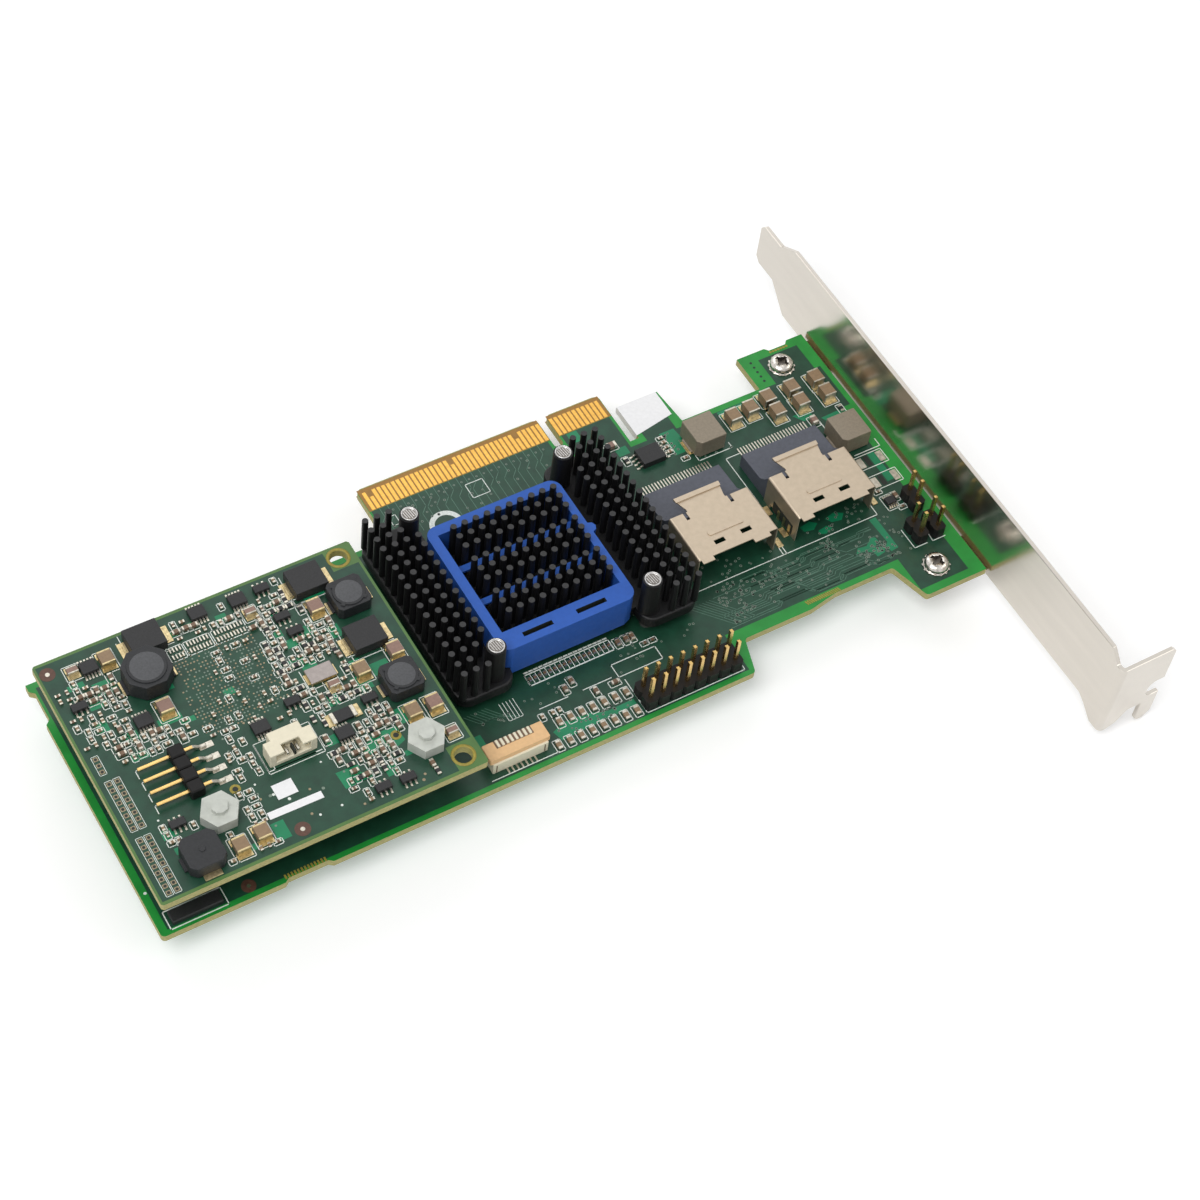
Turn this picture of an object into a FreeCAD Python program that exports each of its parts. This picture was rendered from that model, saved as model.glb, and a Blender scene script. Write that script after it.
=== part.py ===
import FreeCAD, Part
import math
import os
import Sketcher

# A RAID controller card: a half-length, low-profile PCI Express board that carries a
# pin-fin heatsink, two internal mini-SAS ports and a flash backup board on nylon posts,
# held in a full-height steel slot bracket.
# Frame: +X runs along the edge connector towards the bracket, +Y out through the gold
# contacts, +Z up from the component side. The origin is on the contact edge, at the middle
# of the key notch, on the top face of the main board.

doc = FreeCAD.newDocument("raid_controller_card")
sheet = doc.addObject("Spreadsheet::Sheet", "Dims")


class Size:
    # a length in mm that also carries its formula in the words of the sheet

    def __init__(self, value, formula):
        self.value = value
        self.formula = formula

    def __add__(self, other):
        return combine(self, other, "+")

    def __radd__(self, other):
        return combine(other, self, "+")

    def __sub__(self, other):
        return combine(self, other, "-")

    def __rsub__(self, other):
        return combine(other, self, "-")

    def __mul__(self, other):
        return combine(self, other, "*")

    __rmul__ = __mul__

    def __truediv__(self, other):
        return combine(self, other, "/")

    def __neg__(self):
        return combine(0, self, "-")


def as_size(amount):
    if isinstance(amount, Size):
        return amount
    return Size(float(amount), f"({round(float(amount), 5)})")


def combine(left, right, sign):
    left, right = as_size(left), as_size(right)
    values = {
        "+": left.value + right.value,
        "-": left.value - right.value,
        "*": left.value * right.value,
        "/": left.value / right.value if right.value else 0.0,
    }
    return Size(values[sign], f"({left.formula} {sign} {right.formula})")


class Dimensions:
    # the driving dimensions, one sheet row each

    def __init__(self, rows):
        for row, (alias, value) in enumerate(rows.items(), start=1):
            sheet.set(f"A{row}", alias)
            sheet.set(f"B{row}", str(value))
            sheet.setAlias(f"B{row}", alias)
            setattr(self, alias, Size(float(value), f"Dims.{alias}"))


d = Dimensions({
    # main board
    "board_left": -110.6,
    "board_right": 57.0,
    "board_near": -68.9,
    "board_thick": 1.57,
    "shoulder_back": 12.95,
    "side_tab_back": 4.6,
    "board_corner": 0.8,
    # edge connector
    "key_width": 1.9,
    "key_depth": 8.0,
    "contact_pitch": 1.0,
    "contact_width": 0.7,
    "contact_back": 1.4,
    "contact_end": 5.75,
    "contact_thick": 0.05,
    "edge_bevel": 0.45,
    "first_group_end": 12.6,
    "second_group_end": 39.6,
    # slot bracket
    "bracket_thick": 0.86,
    "bracket_width": 18.42,
    "bracket_length": 120.02,
    "bracket_tip": 14.3,
    "bracket_gap": 0.65,
    "tongue_low": 5.45,
    "tongue_width": 10.19,
    "tab_reach": 11.43,
    "tab_top_drop": 2.7,
    "tab_width": 21.6,
    "slot_notch_width": 4.42,
    "slot_notch_depth": 3.4,
    "flange_length": 12.2,
    "flange_width": 8.8,
    "screw_x": 48.9,
    "far_screw_y": -9.9,
    "near_screw_y": -63.9,
    "screw_shank": 1.45,
    "screw_head": 2.75,
    "screw_head_height": 1.8,
    "hole_clearance": 0.2,
    # heatsink and its collar
    "sink_left": -46.5,
    "sink_right": 3.0,
    "sink_near": -53.5,
    "sink_far": -14.2,
    "sink_low": 2.4,
    "sink_plate": 2.2,
    "strip_width": 11.5,
    "fin_pitch_x": 2.36,
    "fin_pitch_y": 2.31,
    "fin_side": 1.13,
    "fin_top": 12.5,
    "post_radius": 1.8,
    "post_top": 13.3,
    "post_x_left": -38.3,
    "post_x_right": -6.5,
    "post_y_near": -50.5,
    "post_y_far": -18.4,
    "pin_shank": 1.2,
    "collar_left": -36.7,
    "collar_right": -9.2,
    "collar_near": -50.6,
    "collar_far": -20.8,
    "collar_top": 10.2,
    "collar_corner": 2.2,
    "chip_side": 27.0,
    # mini-SAS ports
    "port_left_x": 6.2,
    "port_right_x": 28.0,
    "cage_width": 17.2,
    "cage_height": 6.8,
    "cage_sheet": 0.25,
    "cage_front": -47.1,
    "cage_back": -36.4,
    "port_back": -27.3,
    "lead_tip": -23.7,
    # pin headers
    "pin_side": 0.64,
    "pin_pitch": 2.54,
    "pin_height": 8.3,
    "header_height": 2.5,
    # backup board
    "mezz_left": -110.15,
    "mezz_right": -49.6,
    "mezz_near": -68.75,
    "mezz_far": -16.5,
    "mezz_under": 8.43,
    "mezz_thick": 1.57,
    "mezz_hole": 1.6,
    "stud_radius": 1.45,
    "nut_height": 2.4,
})

nodes = []


def label(obj, name):
    obj.Label = name
    nodes.append(obj)
    return obj


def bind(obj, prop, amount):
    obj.setExpression(prop, as_size(amount).formula)


def move(obj, x, y, z):
    bind(obj, "Placement.Base.x", x)
    bind(obj, "Placement.Base.y", y)
    bind(obj, "Placement.Base.z", z)
    return obj


def block(x, y, z, length, width, height):
    # a cuboid from its low corner
    box = doc.addObject("Part::Box", "block")
    bind(box, "Length", length)
    bind(box, "Width", width)
    bind(box, "Height", height)
    return move(box, x, y, z)


def centred(x, y, z, length, width, height):
    # a cuboid that stands on z with its middle at x, y
    half_length, half_width = as_size(length) / 2, as_size(width) / 2
    return block(as_size(x) - half_length, as_size(y) - half_width, z, length, width, height)


def rod(x, y, z, radius, height):
    cylinder = doc.addObject("Part::Cylinder", "rod")
    bind(cylinder, "Radius", radius)
    bind(cylinder, "Height", height)
    return move(cylinder, x, y, z)


def prism(x, y, z, circumradius, height, sides):
    column = doc.addObject("Part::Prism", "prism")
    column.Polygon = sides
    bind(column, "Circumradius", circumradius)
    bind(column, "Height", height)
    return move(column, x, y, z)


def hexagon(x, y, z, circumradius, height):
    return prism(x, y, z, circumradius, height, 6)


def pin_round(x, y, z, radius, height):
    # a small round pin or bore, held to few facets
    return prism(x, y, z, radius, height, ROUND_SIDES)


def fuse(pieces):
    joined = doc.addObject("Part::MultiFuse", "joined")
    joined.Shapes = pieces
    joined.Refine = False
    return joined


def cut(base, tool):
    carved = doc.addObject("Part::Cut", "carved")
    carved.Base = base
    carved.Tool = tool
    return carved


def compound_of(pieces, name="pieces"):
    compound = doc.addObject("Part::Compound", name)
    compound.Links = pieces
    return compound


def group(name, pieces):
    return label(compound_of(pieces, name), name)


def new_body(name):
    return label(doc.addObject("PartDesign::Body", name), name)


def new_sketch(body, plane, offset=0.0):
    sketch = body.newObject("Sketcher::SketchObject", "sketch")
    role = plane + "_Plane"
    origin_plane = [part for part in body.Origin.OriginFeatures if part.Role == role][0]
    sketch.AttachmentSupport = [(origin_plane, "")]
    sketch.MapMode = "FlatFace"
    bind(sketch, "AttachmentOffset.Base.z", offset)
    return sketch


def pin_point(sketch, geometry, position, x, y):
    # holds one point of a sketch at x, y from the sketch's origin
    for kind, amount in (("DistanceX", as_size(x)), ("DistanceY", as_size(y))):
        constraint = Sketcher.Constraint(kind, -1, 1, geometry, position, amount.value)
        index = sketch.addConstraint(constraint)
        sketch.setExpression(f"Constraints[{index}]", amount.formula)


def draw_outline(sketch, points):
    # a closed outline of straight lines, each corner held by its two coordinates
    flat = [(as_size(x), as_size(y)) for x, y in points]
    vectors = [FreeCAD.Vector(x.value, y.value, 0) for x, y in flat]
    first = sketch.GeometryCount
    count = len(vectors)
    for index in range(count):
        sketch.addGeometry(Part.LineSegment(vectors[index], vectors[(index + 1) % count]))
    for index in range(count):
        after = first + (index + 1) % count
        sketch.addConstraint(Sketcher.Constraint("Coincident", first + index, 2, after, 1))
    for index, (x, y) in enumerate(flat):
        pin_point(sketch, first + index, 1, x, y)
    return sketch


def draw_box(sketch, x, y, length, width):
    # a rectangle about its middle
    half_length, half_width = as_size(length) / 2, as_size(width) / 2
    left, right = as_size(x) - half_length, as_size(x) + half_length
    low, high = as_size(y) - half_width, as_size(y) + half_width
    return draw_outline(sketch, [(left, low), (right, low), (right, high), (left, high)])


def draw_round(sketch, x, y, radius):
    # a disc about x, y, as an even polygon
    turns = [2 * math.pi * index / ROUND_SIDES for index in range(ROUND_SIDES)]
    return draw_outline(sketch, [(x + as_size(radius) * math.cos(turn),
                                  y + as_size(radius) * math.sin(turn)) for turn in turns])


def pad(body, sketch, length, reverse=False):
    feature = body.newObject("PartDesign::Pad", "pad")
    feature.Profile = sketch
    bind(feature, "Length", length)
    feature.Reversed = reverse
    return feature


def pocket(body, sketch, depth=None, reverse=False):
    # with no depth it cuts right through, both ways
    feature = body.newObject("PartDesign::Pocket", "pocket")
    feature.Profile = sketch
    if depth is None:
        feature.Type = "ThroughAll"
        feature.Midplane = True
    else:
        bind(feature, "Length", depth)
    feature.Reversed = reverse
    return feature


def edges_at(shape, places, tolerance=0.02):
    # the names of the straight edges whose midpoint, on the given axes, is at a place;
    # None in a place matches any value on that axis
    names = []
    for number, edge in enumerate(shape.Edges, start=1):
        middle = edge.valueAt((edge.FirstParameter + edge.LastParameter) / 2)
        for place in places:
            wanted = [(a, b) for a, b in zip(middle, place) if b is not None]
            if all(abs(a - as_size(b).value) < tolerance for a, b in wanted):
                names.append(f"Edge{number}")
                break
    return names


def round_edges(body, base, places, radius):
    doc.recompute()
    feature = body.newObject("PartDesign::Fillet", "round")
    feature.Base = (base, edges_at(base.Shape, places))
    bind(feature, "Radius", radius)
    return feature


def bevel_edges(body, base, places, size):
    doc.recompute()
    feature = body.newObject("PartDesign::Chamfer", "bevel")
    feature.Base = (base, edges_at(base.Shape, places))
    bind(feature, "Size", size)
    return feature


ROUND_SIDES = 8  # of every small round pin, bore and hole

# Places of the loose components, from the origin.

DOUBLE_HEADER = (-15.0, -66.0)  # its near-left pin; 8 columns and 2 rows
DOUBLE_HEADER_COLUMNS = 8
JUMPERS = ((53.1, -50.7), (53.2, -57.5), (49.5, -57.3))  # the near pin of each pair
STANDOFFS = ((-57.3, -60.4), (-94.5, -57.7))
MEZZ_HOLES = ((-52.9, -19.2), (-52.9, -65.7))

post_places = [(x, y) for x in (d.post_x_left, d.post_x_right) for y in (d.post_y_near, d.post_y_far)]
screw_places = [(d.screw_x, d.far_screw_y), (d.screw_x, d.near_screw_y)]
double_header_pins = [
    (DOUBLE_HEADER[0] + column * d.pin_pitch, DOUBLE_HEADER[1] + row * d.pin_pitch)
    for row in range(2) for column in range(DOUBLE_HEADER_COLUMNS)
]
jumper_pins = [(x, y + row * d.pin_pitch) for x, y in JUMPERS for row in range(2)]


# Main board: one outline with the keyed contact edge, the retention tab, the bracket tab
# and the shallow scars where the break-off rails were.

key_half = d.key_width / 2
shoulder = -d.shoulder_back
side_tab = -d.side_tab_back

board = doc.addObject("PartDesign::Body", "board_panel")
board_outline = draw_outline(new_sketch(board, "XY", -d.board_thick), [
    (d.board_left, d.board_near),
    (-88.0, d.board_near),
    (-87.2, d.board_near + 0.6),
    (-79.8, d.board_near + 0.6),
    (-79.0, d.board_near),
    (5.7, d.board_near),
    (7.9, d.board_near + 7.1),
    (22.5, d.board_near + 7.1),
    (28.5, d.board_near + 8.2),
    (41.2, d.board_near + 8.2),
    (43.6, d.board_near),
    (d.board_right, d.board_near),
    (d.board_right, side_tab),
    (53.4, side_tab),
    (52.7, side_tab - 0.8),
    (48.9, side_tab - 0.8),
    (48.2, side_tab),
    (41.9, side_tab),
    (41.9, shoulder),
    (24.2, shoulder),
    (23.5, side_tab),
    (14.5, side_tab),
    (14.5, shoulder),
    (d.first_group_end, shoulder),
    (d.first_group_end, 0),
    (key_half, 0),
    (key_half, -d.key_depth),
    (-key_half, -d.key_depth),
    (-key_half, 0),
    (-d.second_group_end, 0),
    (-d.second_group_end, shoulder),
    (d.board_left, shoulder),
    (d.board_left, shoulder - 1.5),
    (d.board_left + 0.9, shoulder - 2.3),
    (d.board_left + 0.9, shoulder - 8.3),
    (d.board_left, shoulder - 9.1),
])
board_plate = pad(board, board_outline, d.board_thick)
board_corners = [
    (d.board_left, d.board_near), (5.7, d.board_near), (7.9, d.board_near + 7.1),
    (41.2, d.board_near + 8.2), (43.6, d.board_near),
    (key_half, -d.key_depth), (-key_half, -d.key_depth),
]
board_round = round_edges(board, board_plate, [(x, y, None) for x, y in board_corners],
                          d.board_corner)
group_ends = (d.first_group_end, key_half, -key_half, -d.second_group_end)
board_ears = bevel_edges(board, board_round, [(x, 0, None) for x in group_ends], 1.1)
group_middles = ((d.first_group_end + key_half) / 2, -(d.second_group_end + key_half) / 2)
bevel_edges(board, board_ears,
                          [(x, 0, z) for x in group_middles for z in (0, -d.board_thick)],
                          d.edge_bevel)
round_holes = [(x, y, d.screw_shank) for x, y in screw_places]
round_holes += [(x, y, d.pin_shank) for x, y in post_places]
round_holes += [(x, y, d.stud_radius) for x, y in STANDOFFS]
board_low = -d.board_thick - 1
board_ways = [pin_round(x, y, board_low, radius + d.hole_clearance, 4)
              for x, y, radius in round_holes]
label(cut(board, compound_of(board_ways)), "main_board")


# Gold edge contacts, the same on both faces. Three presence contacts stop short.

FIRST_GROUP = 11
SECOND_GROUP = 38
SHORT_CONTACTS = (6, 20, 37)
SHORTFALL = 1.4

contacts = []
contact_rows = [(side, index) for side, count in ((1, FIRST_GROUP), (-1, SECOND_GROUP))
                for index in range(count)]
for side, index in contact_rows:
    x = side * (1.5 * d.contact_pitch + index * d.contact_pitch)
    short = side < 0 and index + 1 in SHORT_CONTACTS
    tip = d.contact_back + (SHORTFALL if short else 0)
    for z in (as_size(0), -d.board_thick - d.contact_thick):
        contacts.append(block(x - d.contact_width / 2, -d.contact_end, z, d.contact_width,
                              d.contact_end - tip, d.contact_thick))
group("edge_contacts", contacts)


# Slot bracket: one strip of sheet steel with a narrowed tongue, a bent tab with its screw
# notch, and two flanges folded under the board.

plate_in = d.board_right + d.bracket_gap
plate_out = plate_in + d.bracket_thick
plate_low = -d.board_thick - d.bracket_thick
plate_high = plate_low + d.bracket_width
tab_out = d.bracket_tip - d.bracket_length
tab_in = tab_out + d.bracket_thick
tab_top = plate_high - d.tab_top_drop
tab_end = plate_out + d.tab_reach
tab_low = tab_top - d.tab_width
tongue_bottom = plate_low + d.tongue_low
tongue_top = tongue_bottom + d.tongue_width
notch_middle = tab_top - 11.6

bracket = doc.addObject("PartDesign::Body", "bracket_steel")
plate_outline = draw_outline(new_sketch(bracket, "YZ", plate_in), [
    (d.bracket_tip, tongue_bottom + 1.2),
    (d.bracket_tip, tongue_top - 1.2),
    (d.bracket_tip - 1.2, tongue_top),
    (d.bracket_tip - 7.0, tongue_top),
    (d.bracket_tip - 11.4, plate_high),
    (tab_out + 4.2, plate_high),
    (tab_out + 1.9, tab_top),
    (tab_out, tab_top),
    (tab_out, plate_low - 3.6),
    (tab_out + 3.0, plate_low - 3.6),
    (tab_out + 5.6, plate_low - 1.2),
    (tab_out + 7.4, plate_low),
    (d.bracket_tip - 11.4, plate_low),
    (d.bracket_tip - 6.2, tongue_bottom),
    (d.bracket_tip - 1.2, tongue_bottom),
])
pad(bracket, plate_outline, d.bracket_thick)
tab_outline = draw_outline(new_sketch(bracket, "XZ", -tab_in), [
    (plate_in, tab_top),
    (tab_end - 0.9, tab_top),
    (tab_end, tab_top - 0.9),
    (tab_end, notch_middle + d.slot_notch_width / 2),
    (tab_end - d.slot_notch_depth, notch_middle + d.slot_notch_width / 2),
    (tab_end - d.slot_notch_depth, notch_middle - d.slot_notch_width / 2),
    (tab_end, notch_middle - d.slot_notch_width / 2),
    (tab_end, tab_low + 1.6),
    (tab_end - 1.4, tab_low),
    (tab_end - 2.6, tab_low),
    (tab_end - 3.5, tab_low + 0.9),
    (tab_end - 3.5, tab_low + 6.0),
    (tab_end - 6.6, tab_low + 6.0),
    (tab_end - 8.6, tab_low + 3.2),
    (tab_end - 10.6, plate_low - 3.6),
    (plate_in, plate_low - 3.6),
])
pad(bracket, tab_outline, d.bracket_thick)
flanges = new_sketch(bracket, "XY", plate_low)
for x, y in screw_places:
    reach_middle = plate_in + d.bracket_thick / 2 - d.flange_length / 2
    draw_box(flanges, reach_middle, y, d.flange_length, d.flange_width)
flange_pads = pad(bracket, flanges, d.bracket_thick)
bend_middle = (tab_top + plate_low - 3.6) / 2
outer_bend = round_edges(bracket, flange_pads, [(plate_in, tab_out, bend_middle)], 1.1)
inner_bend = round_edges(bracket, outer_bend, [(plate_out, tab_in, None)], 0.3)
round_edges(bracket, inner_bend, [
    (tab_end - d.slot_notch_depth, None, notch_middle + d.slot_notch_width / 2),
    (tab_end - d.slot_notch_depth, None, notch_middle - d.slot_notch_width / 2),
], 1.9)
screw_ways = compound_of([pin_round(x, y, plate_low - 1, d.screw_shank, d.bracket_thick + 2)
                          for x, y in screw_places])
label(cut(bracket, screw_ways), "bracket")


# Bracket screws: pan heads over the board, threaded into the flanges below it.

CROWN_DROP = 0.55

screws = []
for x, y in screw_places:
    head = pin_round(x, y, 0, d.screw_head, d.screw_head_height - CROWN_DROP)
    crown = pin_round(x, y, d.screw_head_height - CROWN_DROP, d.screw_head - CROWN_DROP,
                      CROWN_DROP)
    shank_low = plate_low - 0.9
    shank = pin_round(x, y, shank_low, d.screw_shank, -shank_low)
    screws.append(fuse([head, crown, shank]))
group("bracket_screws", screws)


# Controller chip: a laminate carrier with a smaller flat lid that meets the heatsink.

SINK_MIDDLE = ((d.sink_left + d.sink_right) / 2, (d.sink_near + d.sink_far) / 2)
chip_carrier_height = d.sink_low * 0.45
chip = fuse([
    centred(SINK_MIDDLE[0], SINK_MIDDLE[1], 0, d.chip_side, d.chip_side, chip_carrier_height),
    centred(SINK_MIDDLE[0], SINK_MIDDLE[1], chip_carrier_height, d.chip_side - 5,
            d.chip_side - 5, d.sink_low - chip_carrier_height),
])
label(chip, "controller_chip")


# Heatsink: a plate with deep strips left and right and a narrower middle, square grids of
# upright fins, and four bored posts for the fixing pins.

plate_top = d.sink_low + d.sink_plate
neck_left = d.sink_left + d.strip_width
neck_right = d.sink_right - d.strip_width + 0.2
neck_near = d.collar_near + 1.3
neck_far = d.collar_far - 1.3
FIN_INSET = 0.8
FAR_FIN = 1.4
FINS_DEEP = 17
MIDDLE_FINS = 10
MIDDLE_LEFT = 4.5
MIDDLE_FAR = 3.0
BAR_EXTRA = 0.95

sink = doc.addObject("PartDesign::Body", "heatsink_plate")
sink_outline = draw_outline(new_sketch(sink, "XY", d.sink_low), [
    (d.sink_left, d.sink_near),
    (neck_left, d.sink_near),
    (neck_left, neck_near),
    (neck_right, neck_near),
    (neck_right, d.sink_near),
    (d.sink_right, d.sink_near),
    (d.sink_right, d.sink_far),
    (neck_right, d.sink_far),
    (neck_right, neck_far),
    (neck_left, neck_far),
    (neck_left, d.sink_far),
    (d.sink_left, d.sink_far),
])
sink_plate = pad(sink, sink_outline, d.sink_plate)
sink_ends = [(x, y, None) for x in (d.sink_left, neck_left, neck_right, d.sink_right)
             for y in (d.sink_near, d.sink_far)]
bevel_edges(sink, sink_plate, sink_ends, 1.0)


left_fin = d.sink_left + FIN_INSET
right_fin = d.sink_right - FIN_INSET - 0.2
far_fin = d.sink_far - FAR_FIN
last_row = FINS_DEEP - 1
fins = []


def fin_grid(x, y, columns, rows, column_step=d.fin_pitch_x):
    # upright fins: columns along +X, the numbered rows towards -Y
    for column in range(columns):
        for row in rows:
            fins.append(centred(x + column * column_step, y - row * d.fin_pitch_y, plate_top,
                                d.fin_side, d.fin_side, d.fin_top - plate_top))


every_row = range(FINS_DEEP)
fin_grid(left_fin, far_fin, 2, every_row)
fin_grid(left_fin + 2 * d.fin_pitch_x, far_fin, 1, [0, *range(2, last_row - 1), last_row])
fin_grid(left_fin + 3 * d.fin_pitch_x, far_fin, 1, range(3, last_row - 2))
fin_grid(right_fin - 2 * d.fin_pitch_x, far_fin, 3, every_row)
fin_grid(right_fin - 3 * d.fin_pitch_x, far_fin, 1, range(3, last_row - 2))
for bank in range(3):
    bank_far = d.collar_far - MIDDLE_FAR - bank * (3 * d.fin_pitch_y + BAR_EXTRA)
    fin_grid(d.collar_left + MIDDLE_LEFT, bank_far, MIDDLE_FINS, range(3), d.fin_pitch_x - 0.07)
posts = [pin_round(x, y, plate_top, d.post_radius, d.post_top - plate_top)
         for x, y in post_places]
bores = [pin_round(x, y, d.sink_low - 1, d.pin_shank, d.post_top) for x, y in post_places]
label(cut(fuse([sink, *fins, *posts]), compound_of(bores)), "heatsink")


# Fixing pins: a shank through post and board, a flat head on the post and a barb below.

PIN_HEAD = (1.62, 0.35)
PIN_BARB = (1.7, 0.8)

fixing_pins = []
for x, y in post_places:
    barb_top = -d.board_thick
    shank = pin_round(x, y, barb_top, d.pin_shank, d.post_top - barb_top)
    head = pin_round(x, y, d.post_top, PIN_HEAD[0], PIN_HEAD[1])
    barb = pin_round(x, y, barb_top - PIN_BARB[1], PIN_BARB[0], PIN_BARB[1])
    fixing_pins.append(fuse([shank, head, barb]))
group("heatsink_pins", fixing_pins)


# Plastic collar round the middle fins: a rounded frame on the plate, skirts over its near and
# far edges, two cross bars, two slots in the wide near rim and a bump on the right side.

WINDOW = {"left": 1.9, "right": 1.5, "near": 4.0, "far": 2.1}
BARS = ((-29.95, 1.3), (-37.95, 1.3))
BAR_TOP_DROP = 0.9
BAR_DEPTH = 1.8
RIM_SLOTS = (-28.7, -17.8)
RIM_SLOT_SIZE = (6.0, 0.95)
SKIRT_THICK = 1.2
CORNER_INSET = 0.293  # how far a round corner stays inside its square one, per radius

collar = new_body("heatsink_collar")
collar_outline = draw_outline(new_sketch(collar, "XY", plate_top), [
    (d.collar_left, d.collar_near),
    (d.collar_right, d.collar_near),
    (d.collar_right, d.collar_far),
    (d.collar_left, d.collar_far),
])
collar_block = pad(collar, collar_outline, d.collar_top - plate_top)
round_edges(collar, collar_block,
                           [(x, y, None) for x in (d.collar_left, d.collar_right)
                            for y in (d.collar_near, d.collar_far)], d.collar_corner)
window_left = d.collar_left + WINDOW["left"]
window_right = d.collar_right - WINDOW["right"]
window_near = d.collar_near + WINDOW["near"]
window_far = d.collar_far - WINDOW["far"]
window_outline = draw_outline(new_sketch(collar, "XY", d.collar_top), [
    (window_left, window_near), (window_right, window_near),
    (window_right, window_far), (window_left, window_far),
])
pocket(collar, window_outline, d.collar_top - plate_top + 0.5)
skirts = new_sketch(collar, "XY", d.sink_low + 0.2)
skirt_left = neck_left + 0.1
for edge, inward in ((d.collar_near, 1), (d.collar_far, -1)):
    draw_outline(skirts, [
        (skirt_left, edge),
        (d.collar_right - d.collar_corner, edge),
        (d.collar_right - CORNER_INSET * d.collar_corner,
         edge + inward * CORNER_INSET * d.collar_corner),
        (d.collar_right - CORNER_INSET * d.collar_corner, edge + inward * SKIRT_THICK),
        (skirt_left, edge + inward * SKIRT_THICK),
    ])
pad(collar, skirts, plate_top - d.sink_low)
bars = new_sketch(collar, "XY", d.collar_top - BAR_TOP_DROP)
for y, width in BARS:
    draw_box(bars, (window_left + window_right) / 2, y, window_right - window_left + 0.4, width)
pad(collar, bars, BAR_DEPTH, reverse=True)
bump = new_sketch(collar, "XY", d.collar_top)
draw_round(bump, d.collar_right, (d.collar_near + d.collar_far) / 2 + 2.2, 1.1)
pad(collar, bump, d.collar_top - plate_top, reverse=True)
rim_slots = new_sketch(collar, "XY", d.collar_top)
for x in RIM_SLOTS:
    draw_box(rim_slots, x, d.collar_near + 1.95, RIM_SLOT_SIZE[0], RIM_SLOT_SIZE[1])
pocket(collar, rim_slots, 2.0)


# Mini-SAS ports: a folded sheet cage over a moulded body that carries the contact blade,
# with a comb of solder leads behind. The mouths face -Y.

LEADS = 24
LEAD_PITCH = 0.65
LEAD_SHIFT = 0.9
PORT_SIDES = ((d.port_left_x, "left"), (d.port_right_x, "right"))

for port_x, side in PORT_SIDES:
    right_x = port_x + d.cage_width
    middle_x = port_x + d.cage_width / 2
    inside = d.cage_sheet
    roof = d.cage_height - d.cage_sheet
    cage = new_body(f"sas_cage_{side}")
    section = draw_outline(new_sketch(cage, "XZ", -d.cage_back), [
        (port_x, 0), (port_x + inside, 0), (port_x + inside, roof), (right_x - inside, roof),
        (right_x - inside, 0), (right_x, 0), (right_x, d.cage_height), (port_x, d.cage_height),
    ])
    shell = pad(cage, section, d.cage_back - d.cage_front)
    round_edges(cage, shell, [(port_x, None, d.cage_height),
                                           (right_x, None, d.cage_height)], 0.45)
    tongue = draw_outline(new_sketch(cage, "XY", roof), [
        (port_x + 4.0, d.cage_back - 0.3), (right_x - 5.0, d.cage_back - 0.3),
        (right_x - 5.0, d.cage_back + 0.6), (right_x - 4.4, d.cage_back + 3.5),
        (port_x + 3.0, d.cage_back + 3.5), (port_x + 4.0, d.cage_back + 0.6),
    ])
    pad(cage, tongue, d.cage_sheet)
    lip = draw_outline(new_sketch(cage, "XY", d.cage_height - 0.05), [
        (port_x + 3.05, d.cage_back + 2.5), (right_x - 4.5, d.cage_back + 2.5),
        (right_x - 4.4, d.cage_back + 3.5), (port_x + 3.0, d.cage_back + 3.5),
    ])
    pad(cage, lip, 0.35)
    front_tabs = new_sketch(cage, "XY", roof)
    draw_box(front_tabs, port_x + 1.7, d.cage_front - 0.35, 2.5, 1.1)
    draw_box(front_tabs, port_x + 13.4, d.cage_front - 0.35, 3.5, 1.1)
    pad(cage, front_tabs, d.cage_sheet)
    rib = draw_box(new_sketch(cage, "XY", d.cage_height - 0.05), middle_x + 0.2,
                   d.cage_front + 4.1, 8.2, 1.1)
    pad(cage, rib, 0.25)
    openings = new_sketch(cage, "XY", d.cage_height)
    draw_box(openings, port_x + 5.9, d.cage_front + 2.4, 1.9, 0.7)
    draw_box(openings, port_x + 11.6, d.cage_front + 2.4, 1.9, 0.7)
    draw_box(openings, port_x + 3.3, d.cage_back - 0.7, 0.7, 2.0)
    draw_box(openings, right_x - 4.3, d.cage_back - 0.7, 0.7, 2.0)
    pocket(cage, openings, 0.6)
    side_windows = new_sketch(cage, "YZ", port_x - 1)
    draw_box(side_windows, (d.cage_front + d.cage_back) / 2, 0.4, 6.4, 1.2)
    pocket(cage, side_windows, d.cage_width + 2, reverse=True)

    body = new_body(f"sas_body_{side}")
    profile = draw_outline(new_sketch(body, "YZ", port_x + inside), [
        (d.port_back, 0),
        (d.port_back, 3.3),
        (d.cage_back + 2.6, 3.6),
        (d.cage_back + 1.4, 4.6),
        (d.cage_back, roof),
        (d.cage_back - 1.0, roof),
        (d.cage_back - 1.0, 3.9),
        (d.cage_back - 5.4, 3.9),
        (d.cage_back - 5.4, 2.7),
        (d.cage_back - 1.0, 2.7),
        (d.cage_back - 1.0, 0),
    ])
    pad(body, profile, d.cage_width - 2 * inside)
    blade_sides = new_sketch(body, "XY", roof)
    for edge in (port_x + inside, right_x - inside):
        draw_box(blade_sides, edge, d.cage_back - 3.4, 2.6, 4.8)
    pocket(body, blade_sides, roof + 0.5)

    leads = []
    for index in range(LEADS):
        offset = (index - (LEADS - 1) / 2) * LEAD_PITCH
        leads.append(centred(middle_x + LEAD_SHIFT + offset, (d.port_back + d.lead_tip) / 2, 0, 0.26,
                             d.lead_tip - d.port_back, 0.16))
    group(f"sas_leads_{side}", leads)


# Power inductors of the main board: a moulded core with one cut corner on two terminals.

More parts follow.
